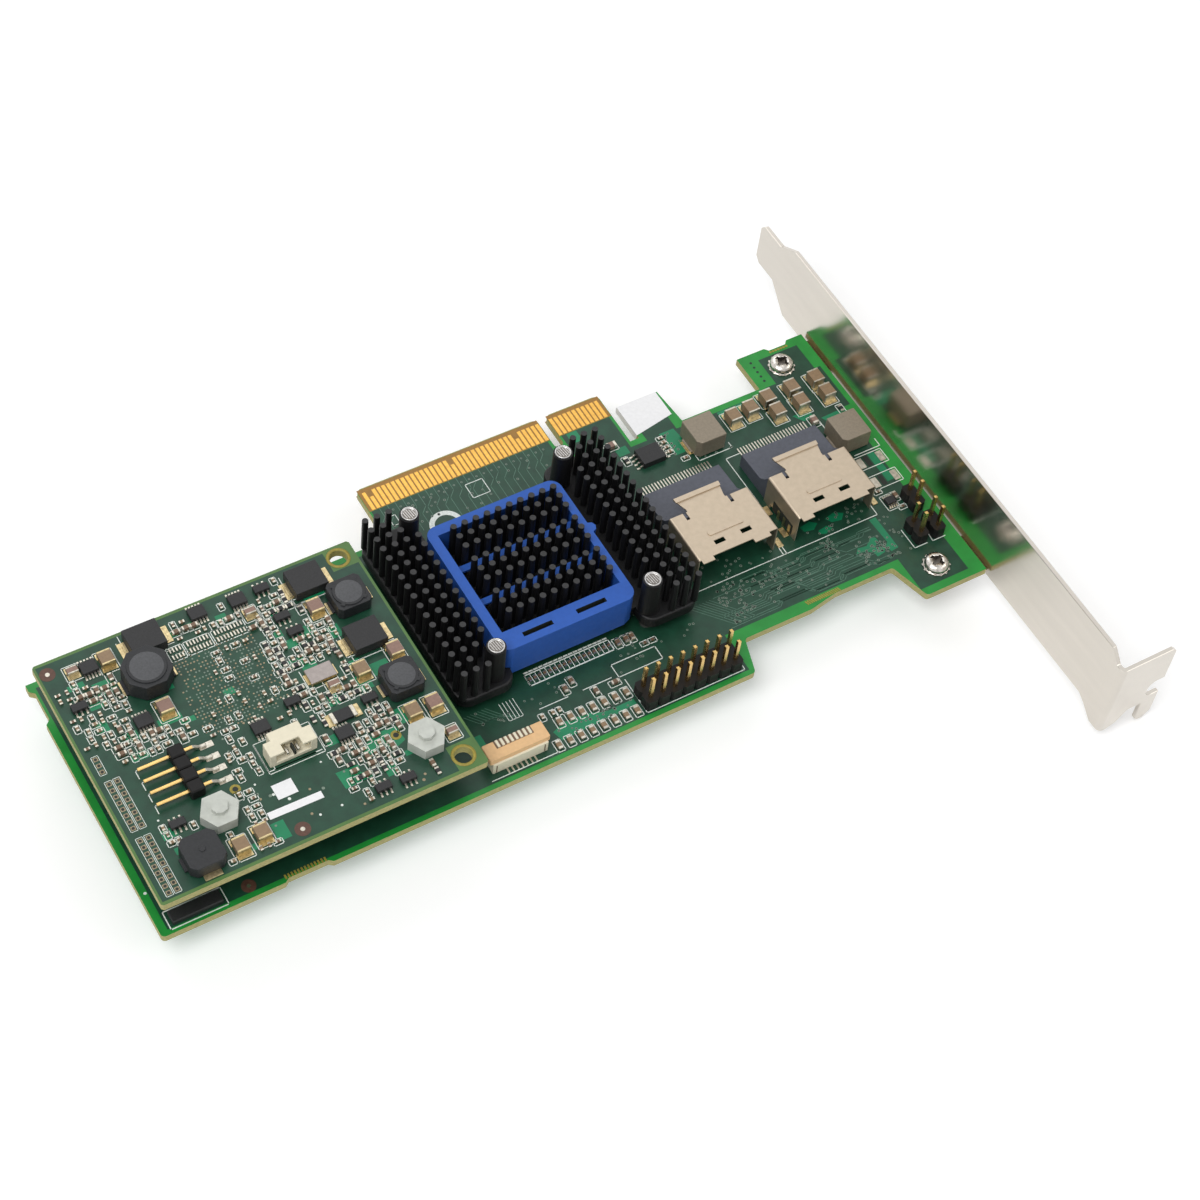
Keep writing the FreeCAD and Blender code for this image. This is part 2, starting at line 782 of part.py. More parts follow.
for name, x, y in (("inductor_left", 24.8, -19.2), ("inductor_right", 50.2, -31.0)):
    core = new_body("power_" + name)
    outline = draw_outline(new_sketch(core, "XY", 0.3), [
        (x - 3.1, y - 2.4), (x - 2.3, y - 3.2), (x + 3.1, y - 3.2), (x + 3.1, y + 3.2),
        (x - 3.1, y + 3.2),
    ])
    pad(core, outline, 4.2)
    ends = new_sketch(core, "XY", 0)
    draw_box(ends, x - 2.9, y + 0.2, 1.2, 3.4)
    draw_box(ends, x + 2.9, y + 0.2, 1.2, 3.4)
    pad(core, ends, 0.6)


# Chip capacitors and resistors are plain cuboids: place, then length, width and height.

def chips(name, places, size, base):
    return group(name, [centred(x, y, base, size[0], size[1], size[2]) for x, y in places])


chips("input_capacitors", ((41.4, -16.3), (37.0, -17.1), (32.9, -17.4), (47.0, -16.2),
                           (41.4, -20.0), (46.8, -20.0), (52.6, -16.2), (52.7, -20.2)),
      (2.5, 3.0, 2.3), 0)
chips("termination_resistors", [(-31.4 + column * 1.02, -51.9) for column in range(17)],
      (0.5, 1.0, 0.35), 0)
chips("cache_memory_chips", [(-95.0 + column * 10.0, -33.0) for column in range(5)],
      (8.0, 11.5, 1.1), 0)


chips("monitor_chip", ((13.9, -18.0),), (4.9, 3.9, 1.5), 0)
chips("clock_chip", ((49.4, -47.6),), (2.0, 1.6, 0.9), 0)


# Pin headers: moulded strips on the board with square pins through them.

def header(pins, columns, rows, first):
    # a strip that stands on the board and is bored for its pins
    x, y = first
    strip = block(as_size(x) - d.pin_pitch / 2, as_size(y) - d.pin_pitch / 2, 0,
                  columns * d.pin_pitch, rows * d.pin_pitch, d.header_height)
    bores = compound_of([centred(px, py, -1, d.pin_side, d.pin_side, d.header_height + 2)
                         for px, py in pins])
    return cut(strip, bores)


def header_pins(name, places):
    return group(name, [centred(x, y, 0, d.pin_side, d.pin_side, d.pin_height)
                        for x, y in places])


label(header(double_header_pins, DOUBLE_HEADER_COLUMNS, 2, DOUBLE_HEADER), "signal_header_base")
header_pins("signal_header_pins", double_header_pins)
group("jumper_bases", [header(jumper_pins[2 * n:2 * n + 2], 1, 2, JUMPERS[n])
                       for n in range(len(JUMPERS))])
header_pins("jumper_pins", jumper_pins)


# Diagnostic connector: an upright moulding with a row of contact slots in its near face.

DIAG = {"left": -47.3, "near": -66.2, "length": 11.9, "depth": 3.9, "height": 3.9, "ways": 8}
diag = new_body("diagnostic_connector")
pad(diag, draw_outline(new_sketch(diag, "XY", 0), [
    (DIAG["left"], DIAG["near"]),
    (DIAG["left"] + DIAG["length"], DIAG["near"]),
    (DIAG["left"] + DIAG["length"], DIAG["near"] + DIAG["depth"]),
    (DIAG["left"], DIAG["near"] + DIAG["depth"]),
]), DIAG["height"])
diag_ways = [DIAG["left"] + 1.6 + way * 1.25 for way in range(DIAG["ways"])]
diag_slots = new_sketch(diag, "XZ", -DIAG["near"])
for x in diag_ways:
    draw_box(diag_slots, x, 1.1, 0.6, 2.6)
pocket(diag, diag_slots, 0.9)
group("diagnostic_contacts", [block(x - 0.3, DIAG["near"] - 0.6, 0, 0.6, 1.5, 0.2)
                              for x in diag_ways])

label(centred(-103.4, -66.4, 0, 9.3, 2.4, 1.0), "status_bar")


# Flash backup board on two nylon posts, with a stacked connector between the boards.

mezz_top = d.mezz_under + d.mezz_thick
mezz = doc.addObject("PartDesign::Body", "backup_panel")
mezz_plate = pad(mezz, draw_outline(new_sketch(mezz, "XY", d.mezz_under), [
    (d.mezz_left, d.mezz_near), (d.mezz_right, d.mezz_near),
    (d.mezz_right, d.mezz_far), (d.mezz_left, d.mezz_far),
]), d.mezz_thick)
bevel_edges(mezz, mezz_plate, [(x, y, None) for x in (d.mezz_left, d.mezz_right)
                               for y in (d.mezz_near, d.mezz_far)], 0.4)
mezz_holes = [rod(x, y, d.mezz_under - 1, d.mezz_hole, 4) for x, y in MEZZ_HOLES]
mezz_holes += [pin_round(x, y, d.mezz_under - 1, d.stud_radius + d.hole_clearance, 4)
               for x, y in STANDOFFS]
label(cut(mezz, compound_of(mezz_holes)), "backup_board")

STANDOFF_HEX = 2.9
NUT_HEX = 3.55
STUD_TOP = 3.3
SCREW_DEPTH = 4.0
standoffs, nuts, standoff_screws = [], [], []
for x, y in STANDOFFS:
    pillar = hexagon(x, y, 0, STANDOFF_HEX, d.mezz_under)
    stud = pin_round(x, y, d.mezz_under, d.stud_radius, d.mezz_thick + STUD_TOP)
    screw_way = pin_round(x, y, -1, d.stud_radius, SCREW_DEPTH + 1)
    standoffs.append(cut(fuse([pillar, stud]), screw_way))
    nuts.append(cut(hexagon(x, y, mezz_top, NUT_HEX, d.nut_height),
                    pin_round(x, y, mezz_top - 1, d.stud_radius, d.nut_height + 2)))
    standoff_screws.append(fuse([
        pin_round(x, y, -d.board_thick, d.stud_radius, d.board_thick + SCREW_DEPTH - 0.3),
        pin_round(x, y, -d.board_thick - 1.2, 2.6, 1.2),
    ]))
group("nylon_standoffs", standoffs)
group("nylon_nuts", nuts)
group("nylon_screws", standoff_screws)

STACK = {"left": -105.4, "near": -60.0, "width": 5.6, "length": 30.0}
stack_split = d.mezz_under / 2
label(block(STACK["left"], STACK["near"], 0, STACK["width"], STACK["length"], stack_split),
      "board_socket")
label(block(STACK["left"] + 0.5, STACK["near"] + 0.5, stack_split, STACK["width"] - 1,
            STACK["length"] - 1, d.mezz_under - stack_split), "board_plug")
label(centred(-75.0, -42.0, d.mezz_under - 1.1, 18.4, 12.0, 1.1), "flash_chip")


# Parts of the backup board.

diodes = []
for x, y in ((-90.9, -20.6), (-60.6, -21.8), (-56.8, -37.0)):
    diodes.append(fuse([
        centred(x, y, mezz_top + 0.15, 6.3, 5.5, 2.15),
        centred(x, y, mezz_top, 7.9, 3.0, 0.35),
    ]))
group("power_diodes", diodes)

OCTAGON_CUT = 1.7


def shielded_inductor(name, x, y, side, corner, height, disc):
    core = new_body(name)
    half = side / 2
    inner = half - corner
    outline = draw_outline(new_sketch(core, "XY", mezz_top + 0.2), [
        (x - inner, y - half), (x + inner, y - half), (x + half, y - inner),
        (x + half, y + inner), (x + inner, y + half), (x - inner, y + half),
        (x - half, y + inner), (x - half, y - inner),
    ])
    pad(core, outline, height - 0.2)
    top = new_sketch(core, "XY", mezz_top + height - 0.1)
    draw_round(top, x, y, disc)
    pad(core, top, 0.3)
    ends = new_sketch(core, "XY", mezz_top)
    draw_box(ends, x - half, y, 1.0, side * 0.4)
    draw_box(ends, x + half, y, 1.0, side * 0.4)
    pad(core, ends, 0.5)
    return core


shielded_inductor("drum_inductor", -93.6, -27.6, 8.2, OCTAGON_CUT * 1.3, 3.9, 3.4)
shielded_inductor("shielded_inductor_far", -55.6, -28.4, 6.5, 0.7, 2.9, 2.5)
shielded_inductor("shielded_inductor_near", -55.5, -48.0, 6.5, 0.7, 2.9, 2.5)
shielded_inductor("output_inductor", -100.4, -63.6, 6.6, 1.0, 2.9, 0.6)

chips("filter_capacitors", ((-98.3, -21.1), (-61.6, -27.4), (-53.4, -41.7), (-60.5, -42.8),
                            (-93.6, -34.6), (-56.6, -54.4), (-52.6, -54.5), (-94.1, -64.8),
                            (-89.9, -64.2)), (2.5, 2.9, 1.7), mezz_top)
chips("bypass_capacitors", ((-104.4, -20.7), (-52.5, -60.8), (-72.1, -23.1), (-66.0, -43.2)),
      (2.0, 1.4, 1.3), mezz_top)
label(centred(-67.0, -40.1, mezz_top, 5.0, 3.2, 0.9), "crystal")
label(centred(-67.4, -49.4, mezz_top, 4.6, 2.3, 0.7), "sense_resistor")
chips("driver_chips", ((-80.4, -19.2), (-73.0, -19.8), (-101.6, -21.2), (-81.0, -45.4),
                       (-68.9, -52.8), (-97.9, -35.3)), (3.0, 2.4, 1.0), mezz_top)
chips("small_transistors", ((-68.2, -19.4), (-106.3, -27.9), (-73.9, -43.1), (-66.9, -30.2),
                            (-67.6, -26.4), (-61.9, -48.4), (-63.5, -65.6), (-68.0, -65.3),
                            (-101.4, -56.1)), (2.8, 1.5, 1.0), mezz_top)


# Battery socket: a side-entry moulding with a stepped back and an open mouth at the front.

SOCKET = {"x": -78.6, "front": -53.2, "width": 8.8, "depth": 4.6, "height": 3.4, "wall": 1.2,
          "step": 1.6, "shoulder": 1.4, "back_wall": 0.6, "mouth_height": 1.9, "key_inset": 1.5}
socket = new_body("battery_socket")
socket_left = SOCKET["x"] - SOCKET["width"] / 2
socket_right = SOCKET["x"] + SOCKET["width"] / 2
socket_back = SOCKET["front"] + SOCKET["depth"]
pad(socket, draw_outline(new_sketch(socket, "XY", mezz_top), [
    (socket_left, SOCKET["front"]),
    (socket_right, SOCKET["front"]),
    (socket_right, socket_back - SOCKET["step"]),
    (socket_right - SOCKET["shoulder"], socket_back - SOCKET["step"]),
    (socket_right - SOCKET["shoulder"], socket_back),
    (socket_left + SOCKET["shoulder"], socket_back),
    (socket_left + SOCKET["shoulder"], socket_back - SOCKET["step"]),
    (socket_left, socket_back - SOCKET["step"]),
]), SOCKET["height"])
mouth = new_sketch(socket, "XZ", -SOCKET["front"])
mouth_width = SOCKET["width"] - 2 * SOCKET["wall"]
draw_box(mouth, SOCKET["x"], mezz_top + 1.9, mouth_width, SOCKET["mouth_height"])
pocket(socket, mouth, SOCKET["depth"] - SOCKET["step"] - SOCKET["back_wall"])
key_way = new_sketch(socket, "XY", mezz_top + SOCKET["height"])
draw_box(key_way, SOCKET["x"], SOCKET["front"] + 0.8, mouth_width - 2 * SOCKET["key_inset"],
         1.8)
pocket(socket, key_way, 1.2)


# Right-angle header: four moulded cubes on bent pins that lie over the board.

ANGLE_PINS = 4
ANGLE_FIRST = -51.8
BLOCK_X = -96.0
PIN_AXIS = 1.25
angle_blocks, angle_pins = [], []
for index in range(ANGLE_PINS):
    y = ANGLE_FIRST + index * d.pin_pitch
    pin = doc.addObject("PartDesign::Body", f"angle_pin_{index}")
    side = d.pin_side
    low = mezz_top + PIN_AXIS - side / 2
    high = mezz_top + PIN_AXIS + side / 2
    bend = draw_outline(new_sketch(pin, "XZ", -(y + side / 2)), [
        (BLOCK_X - 7.1, low), (BLOCK_X + 2.6, low), (BLOCK_X + 3.9, mezz_top),
        (BLOCK_X + 5.4, mezz_top), (BLOCK_X + 5.4, mezz_top + side),
        (BLOCK_X + 4.3, mezz_top + side), (BLOCK_X + 3.0, high), (BLOCK_X - 7.1, high),
    ])
    pad(pin, bend, side)
    angle_pins.append(pin)
    cube = centred(BLOCK_X, y, mezz_top, 2.6, d.pin_pitch - 0.1, 2.5)
    way = block(BLOCK_X - 2, y - side / 2, low, 4, side, side)
    angle_blocks.append(cut(cube, way))
group("angle_header_blocks", angle_blocks)
group("angle_header_pins", angle_pins)


# Check every object, then write one STEP file per node.

doc.recompute()
failed = [obj.Name for obj in doc.Objects if "Invalid" in obj.State or "Error" in obj.State]
if failed:
    raise RuntimeError(f"failed objects: {failed}")
os.makedirs("parts", exist_ok=True)
for node in nodes:
    shape = node.Shape
    if shape.isNull() or not shape.isValid():
        raise RuntimeError(f"bad shape: {node.Label}")
    shape.exportStep(f"parts/{node.Label}.step")
    print(f"{node.Label}: {len(shape.Solids)} solids, {shape.Volume:.2f} mm3")
print(f"{len(nodes)} nodes")
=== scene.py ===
import bpy
import bmesh
import math
import random
from mathutils import Matrix, Vector


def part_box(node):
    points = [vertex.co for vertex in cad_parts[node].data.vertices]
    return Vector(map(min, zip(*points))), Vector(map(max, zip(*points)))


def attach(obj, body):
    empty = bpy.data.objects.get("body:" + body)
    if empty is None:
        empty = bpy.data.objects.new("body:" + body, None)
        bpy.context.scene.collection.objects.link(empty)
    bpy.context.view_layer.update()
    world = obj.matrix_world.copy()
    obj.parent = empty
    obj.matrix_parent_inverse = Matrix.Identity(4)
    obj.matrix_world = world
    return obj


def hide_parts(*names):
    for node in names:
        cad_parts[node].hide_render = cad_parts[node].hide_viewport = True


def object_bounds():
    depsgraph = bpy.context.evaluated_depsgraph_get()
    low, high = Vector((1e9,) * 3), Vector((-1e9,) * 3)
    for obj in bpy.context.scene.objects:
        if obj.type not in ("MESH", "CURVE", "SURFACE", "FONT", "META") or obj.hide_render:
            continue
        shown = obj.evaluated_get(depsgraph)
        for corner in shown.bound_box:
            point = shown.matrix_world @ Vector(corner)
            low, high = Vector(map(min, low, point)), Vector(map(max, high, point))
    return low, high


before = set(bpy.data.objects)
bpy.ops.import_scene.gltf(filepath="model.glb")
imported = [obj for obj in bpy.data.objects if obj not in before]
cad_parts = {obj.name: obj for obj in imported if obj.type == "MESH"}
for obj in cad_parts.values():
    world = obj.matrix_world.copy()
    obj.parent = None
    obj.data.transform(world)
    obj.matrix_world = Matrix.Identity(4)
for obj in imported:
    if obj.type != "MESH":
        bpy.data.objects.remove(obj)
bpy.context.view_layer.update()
mm = 0.001
dice = random.Random(11)
print("frame loaded")


# Finishes: colour, roughness, metal, grain scale, colour spread, then bump and specular level

finishValues = {
    "maskBright": ((0.014, 0.25, 0.036), 0.34, 0, 260, 0.14, 0.05, 0.4),
    "maskOlive": ((0.075, 0.165, 0.042), 0.36, 0, 260, 0.14, 0.05, 0.4),
    "maskDark": ((0.0085, 0.050, 0.027), 0.36, 0, 420, 0.22, 0.05, 0.4),
    "maskEmerald": ((0.006, 0.20, 0.085), 0.34, 0, 300, 0.12, 0.05, 0.4),
    "maskTrace": ((0.075, 0.165, 0.115), 0.36, 0, 700, 0.12, 0.05, 0.4),
    "laminate": ((0.41, 0.375, 0.14), 0.6, 0, 2200, 0.25, 0.4),
    "viaGrey": ((0.17, 0.23, 0.18), 0.4, 0, 1500, 0.2),
    "padTan": ((0.27, 0.22, 0.14), 0.4, 0.5, 1500, 0.2),
    "olive": ((0.30, 0.24, 0.035), 0.5, 0, 1800, 0.2, 0.3),
    "fingerTan": ((0.30, 0.15, 0.022), 0.42, 0, 1500, 0.1),
    "silk": ((0.75, 0.79, 0.74), 0.5, 0, 3000, 0.15, 0.3),
    "gold": ((0.68, 0.385, 0.085), 0.34, 0.9, 1500, 0.1),
    "pinGold": ((0.74, 0.50, 0.19), 0.24, 1, 1500, 0.12),
    "tin": ((0.52, 0.49, 0.42), 0.32, 1, 1800, 0.25, 0.3),
    "giltTin": ((0.53, 0.43, 0.24), 0.32, 1, 1800, 0.28, 0.3),
    "bracketNickel": ((0.66, 0.62, 0.56), 0.2, 1, 500, 0.02, 0.03),
    "screwSteel": ((0.54, 0.51, 0.47), 0.22, 1, 1400, 0.3, 0.3),
    # painted shade: dark grey metal standing for the shade in the screws' cross recesses and the
    # rivets' dishes
    "paintedRecessShade": ((0.16, 0.145, 0.13), 0.35, 1, 2500, 0.12, 0.25),
    "cageNickel": ((0.50, 0.415, 0.315), 0.42, 0.8, 900, 0.05, 0.15),
    "portGrey": ((0.070, 0.076, 0.098), 0.5, 0, 1400, 0.12, 0.2),
    "sinkBlack": ((0.0055, 0.0055, 0.006), 0.45, 0, 1800, 0.3, 0.3, 0.3),
    "finTip": ((0.024, 0.024, 0.025), 0.5, 0, 4000, 0.4, 0.4, 0.35),
    "collarBlue": ((0.022, 0.100, 0.43), 0.46, 0, 1200, 0.05, 0.12, 0.35),
    "rivetSilver": ((0.50, 0.49, 0.48), 0.28, 1, 2000, 0.12, 0.3),
    "chipBlack": ((0.014, 0.014, 0.015), 0.5, 0, 3000, 0.25, 0.4, 0.4),
    "ferriteBlack": ((0.014, 0.015, 0.017), 0.5, 0, 2600, 0.25, 0.5, 0.4),
    "discGrey": ((0.060, 0.062, 0.067), 0.5, 0, 2600, 0.2, 0.4),
    "brickGrey": ((0.245, 0.205, 0.152), 0.4, 0.25, 2200, 0.1, 0.35),
    "ceramicTan": ((0.25, 0.165, 0.090), 0.36, 0, 2000, 0.1),
    "ceramicRose": ((0.25, 0.15, 0.115), 0.36, 0, 2000, 0.1),
    "ceramicBrown": ((0.16, 0.095, 0.055), 0.4, 0, 2600, 0.2),
    "cream": ((0.80, 0.74, 0.57), 0.46, 0, 1300, 0.04, 0.12),
    "peach": ((0.77, 0.49, 0.245), 0.48, 0, 1300, 0.05, 0.12),
    "headerBlack": ((0.009, 0.0085, 0.0085), 0.42, 0, 1800, 0.12, 0.2, 0.2),
    "nylon": ((0.56, 0.58, 0.53), 0.3, 0, 600, 0.1, 0.2),
    "paper": ((0.88, 0.88, 0.89), 0.75, 0, 1500, 0.03, 0.4),
    "crystalTop": ((0.30, 0.265, 0.25), 0.34, 0.8, 1600, 0.1),
    "rust": ((0.085, 0.036, 0.022), 0.5, 0, 1800, 0.2),
    # near-black: painted shade for holes, slots and openings, and the own black of the rivet
    # shanks
    "holeShadeAndBlack": ((0.010, 0.014, 0.010), 0.7, 0, 2000, 0.12),
}
grainStretch = {"laminate": (1, 1, 4), "bracketNickel": (1, 0.1, 1)}  # the grain's own axes
roughSpread = {"bracketNickel": 0.03}  # 0.08 for the rest


def setInputs(step, values):
    # each input takes a value, or a link from another node
    for name, value in values.items():
        if isinstance(value, bpy.types.NodeSocket):
            step.id_data.links.new(value, step.inputs[name])
        else:
            step.inputs[name].default_value = value


def addStep(tree, kind, values, output, operation=None):
    step = tree.nodes.new("ShaderNode" + kind)
    if operation:
        step.operation = operation
    setInputs(step, values)
    return step.outputs[output]


def addNoise(tree, place, scale, detail, stretch):
    if stretch:  # a Mapping node draws the grain out along one axis
        place = addStep(tree, "Mapping", {"Scale": stretch, "Vector": place}, "Vector")
    return addStep(tree, "TexNoise", {"Scale": scale, "Detail": detail, "Vector": place}, "Fac")


def scaled(tree, value, low, high, start=0, end=1):
    return addStep(tree, "MapRange", {"Value": value, "From Min": start, "From Max": end,
                                      "To Min": low, "To Max": high}, "Result")


def mottled(name, colour, rough, metal, scale, spread, bump=0.05, specular=0.5):
    # a colour that wanders a little, with a fine grain in its gloss and its surface
    finish = bpy.data.materials.new(name)
    finish.use_nodes = True
    tree = finish.node_tree
    shader = tree.nodes["Principled BSDF"]
    place = addStep(tree, "TexCoord", {}, "Object")
    stretch, wander = grainStretch.get(name), roughSpread.get(name, 0.08)
    ramp = tree.nodes.new("ShaderNodeValToRGB")
    for end, position, amount in ((0, 0.3, 1 - spread), (1, 0.7, 1 + spread)):
        ramp.color_ramp.elements[end].position = position
        shade = [min(1, channel * amount) for channel in colour]
        ramp.color_ramp.elements[end].color = (*shade, 1)
    setInputs(ramp, {"Fac": addNoise(tree, place, scale, 5, stretch)})
    gloss = scaled(tree, addNoise(tree, place, scale * 0.6, 3, stretch),
                   max(0.02, rough - wander), min(1, rough + wander))
    grain = addStep(tree, "Bump", {"Strength": bump, "Distance": 0.05 * mm,
                                   "Height": addNoise(tree, place, scale * 6, 4, stretch)},
                    "Normal")
    setInputs(shader, {"Base Color": ramp.outputs["Color"], "Roughness": gloss, "Normal": grain,
                       "Metallic": metal, "Specular IOR Level": specular})
    return finish


finishes = {name: mottled(name, *values) for name, values in finishValues.items()}
setInputs(finishes["nylon"].node_tree.nodes["Principled BSDF"],
          {"Subsurface Weight": 0.5, "Subsurface Radius": [1.5 * mm] * 3})
print("finishes made")


# Helpers for shapes. Sizes are in mm, x and y at the middle of a shape and z at its foot.

sharpAngle = math.radians(35)  # edges past this are broken on a moulding or a pressing


def boxOf(node):
    return [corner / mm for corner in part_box(node)]


def bevelLines(mesh, lines, edge, segments, clamp=False):
    return bmesh.ops.bevel(mesh, geom=list(lines), offset=edge * mm, segments=segments,
                           profile=0.5, affect="EDGES", clamp_overlap=clamp, material=-1)


def addObject(name, data):
    made = bpy.data.objects.new(name, data)
    bpy.context.collection.objects.link(made)
    return made


def meshObject(name, mesh):
    data = bpy.data.meshes.new(name)
    mesh.to_mesh(data)
    mesh.free()
    return addObject(name, data)


def paintMade(made, finish, top=None, lid=0):
    # one finish for the faces just made, and another for those over the lid
    for face in {face for corner in made["verts"] for face in corner.link_faces}:
        isTop = top is not None and face.calc_center_median().z > lid * mm
        face.material_index = top if isTop else finish


def addBlock(mesh, x, y, z, length, width, height, finish=0, turn=0, edge=0):
    matrix = (Matrix.Translation(Vector((x, y, z + height / 2)) * mm)
              @ Matrix.Rotation(math.radians(turn), 4, "Z")
              @ Matrix.Diagonal((length * mm, width * mm, height * mm, 1)))
    made = bmesh.ops.create_cube(mesh, size=1, matrix=matrix)
    paintMade(made, finish)
    if edge:
        bevelLines(mesh, {line for corner in made["verts"] for line in corner.link_edges}, edge, 1)


def addSlab(mesh, left, right, near, far, z, height, radius, rim=0, segments=6):
    # a plate with round corners and a broken upper rim
    middle = Vector(((left + right) / 2, (near + far) / 2, z + height / 2)) * mm
    size = ((right - left) * mm, (far - near) * mm, height * mm, 1)
    made = bmesh.ops.create_cube(mesh, size=1,
                                 matrix=Matrix.Translation(middle) @ Matrix.Diagonal(size))
    upright = {line for corner in made["verts"] for line in corner.link_edges
               if abs(line.verts[0].co.z - line.verts[1].co.z) > 0.1 * height * mm}
    rounded = bevelLines(mesh, upright, radius, segments)
    if rim:
        def onLid(line):
            return all(abs(corner.co.z - (z + height) * mm) < 0.001 * mm for corner in line.verts)
        lidLines = {line for side in rounded["faces"] for seam in side.edges
                    for face in seam.link_faces for line in face.edges if onLid(line)}
        bevelLines(mesh, lidLines, rim, 2)


def addRound(mesh, x, y, z, radius, height, finish=0, sides=12, topRadius=None, top=None):
    made = bmesh.ops.create_cone(mesh, cap_ends=True, segments=sides, radius1=radius * mm,
                                 radius2=(radius if topRadius is None else topRadius) * mm,
                                 depth=height * mm,
                                 matrix=Matrix.Translation(Vector((x, y, z + height / 2)) * mm))
    paintMade(made, finish, top, z + height * 0.99)


def addSpun(mesh, x, y, profile, finish=0, steps=32):
    # a turned shape, its profile as radius and height
    before = set(mesh.faces)
    corners = [mesh.verts.new(Vector((x + radius, y, z)) * mm) for radius, z in profile]
    lines = [mesh.edges.new(pair) for pair in zip(corners, corners[1:])]
    bmesh.ops.spin(mesh, geom=corners + lines, cent=Vector((x, y, 0)) * mm, axis=(0, 0, 1),
                   angle=math.tau, steps=steps, use_merge=True, use_duplicate=False)
    bmesh.ops.remove_doubles(mesh, verts=mesh.verts, dist=0.0005 * mm)
    made = [face for face in mesh.faces if face not in before]
    bmesh.ops.recalc_face_normals(mesh, faces=made)
    for face in made:
        face.material_index = finish
        face.smooth = True


def finishPiece(name, mesh, finishNames, nodes=()):
    piece = meshObject(name, mesh)
    for finishName in finishNames:
        piece.data.materials.append(finishes[finishName])
    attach(piece, "root")
    if nodes:
        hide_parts(*nodes)


def nodeMesh(node):
    # a merged copy of a node, its flat faces whole again
    mesh = bmesh.new()
    mesh.from_mesh(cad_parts[node].data)
    bmesh.ops.remove_doubles(mesh, verts=mesh.verts, dist=0.001 * mm)
    bmesh.ops.dissolve_limit(mesh, angle_limit=math.radians(0.6), verts=mesh.verts,
                             edges=mesh.edges)
    return mesh


def topPlans(node, height=None):
    # the plans of a node's flat tops, as left, right, near and far
    source = nodeMesh(node)
    plans = []
    for face in source.faces:
        level = face.calc_center_median().z / mm
        if face.normal.z > 0.9 and (height is None or abs(level - height) < 0.05):
            xs = [corner.co.x / mm for corner in face.verts]
            ys = [corner.co.y / mm for corner in face.verts]
            plans.append((min(xs), max(xs), min(ys), max(ys)))
    source.free()
    return plans


def spaced(count, pitch):
    # places either side of a middle
    return [(number - (count - 1) / 2) * pitch for number in range(count)]


def middleOf(plan):
    left, right, near, far = plan
    return (left + right) / 2, (near + far) / 2


def middleOfBox(node):
    return tuple(sum(boxOf(node), Vector()) / 2)[:2]


def softened(node, finishNames, edge=0.1, segments=2, paint=None, rounded=None,
             reshape=None):
    # the node with its sharp edges broken, as a moulding or a pressing has them
    mesh = nodeMesh(node)
    if reshape:
        for corner in mesh.verts:
            corner.co = Vector(reshape(*(corner.co / mm))) * mm
    if rounded:
        chosen, radius = rounded
        bevelLines(mesh, [line for line in mesh.edges if chosen(line)], radius, 5, True)
    bevelLines(mesh, [line for line in mesh.edges if len(line.link_faces) == 2
                      and line.calc_face_angle(0) > sharpAngle], edge, segments, True)
    for face in mesh.faces:
        face.material_index = paint(face) if paint else 0
    finishPiece(node + "_soft", mesh, finishNames, (node,))


# Nodes that keep their own shape

plainNodes = {
    "edge_contacts": "gold", "sas_leads_left": "tin", "sas_leads_right": "tin",
    "board_socket": "headerBlack", "board_plug": "headerBlack", "flash_chip": "chipBlack",
    "cache_memory_chips": "chipBlack", "controller_chip": "chipBlack",
    "nylon_standoffs": "nylon", "nylon_screws": "nylon",
}
for node, finishName in plainNodes.items():
    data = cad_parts[node].data
    data.materials.clear()
    data.materials.append(finishes[finishName])
print("plain nodes dressed")


# Mouldings and pressings with softened edges

def below(level):
    return lambda face: int(face.calc_center_median().z < level * mm)


collar = {"edge": 0.22, "barLevel": 9.3, "barDrop": 1.3, "slotY": -48.65, "slotXs": (-28.7, -17.8),
          "slotHalf": (3.05, 0.55)}
slotLevel = boxOf("heatsink_collar")[1].z - 0.2


def isSlot(face):
    # the two slots in the near rim of the collar, their faces painted near-black as their shade
    middle = face.calc_center_median() / mm
    return int(abs(middle.y - collar["slotY"]) < collar["slotHalf"][1] and middle.z < slotLevel
               and min(abs(middle.x - x) for x in collar["slotXs"]) < collar["slotHalf"][0])


softened("bracket", ["bracketNickel"], 0.12)
softened("heatsink_collar", ["collarBlue", "holeShadeAndBlack"], collar["edge"], 3, isSlot,
         reshape=lambda x, y, z: (  # the cross bars go lower
             x, y, z - collar["barDrop"] * (abs(z - collar["barLevel"]) < 0.05)))
# Besides the pressing, these values place a near-black sheet in each cage's open side as painted
# shade, and the gilt tabs there
cage = {"edge": 0.07, "roof": 6.7, "tab": 0.9, "rib": 4.1, "ribHalf": (4.2, 0.6), "ribShift": 0.2,
        "ribBack": 0.5, "ribTop": 6.97, "ribShare": 0.93, "ribRound": 0.5, "slot": 2.4,
        "slots": (5.9, 11.6), "slotLength": 1.15, "slotWidth": 1.4,
        "wall": (0.04, 6.6, 2.6), "wallY": -42.6, "tabs": (-45, -43.2, -41.4)}


def isRibEnd(line):
    # the upright lines of the long rib pressed into a cage
    low, high = sorted(corner.co.z / mm for corner in line.verts)
    upright = (line.verts[0].co - line.verts[1].co).to_2d().length < 0.01 * mm
    return (upright and low > cage["roof"] and high - low > 0.1
            and line.verts[0].co.y < -40 * mm)


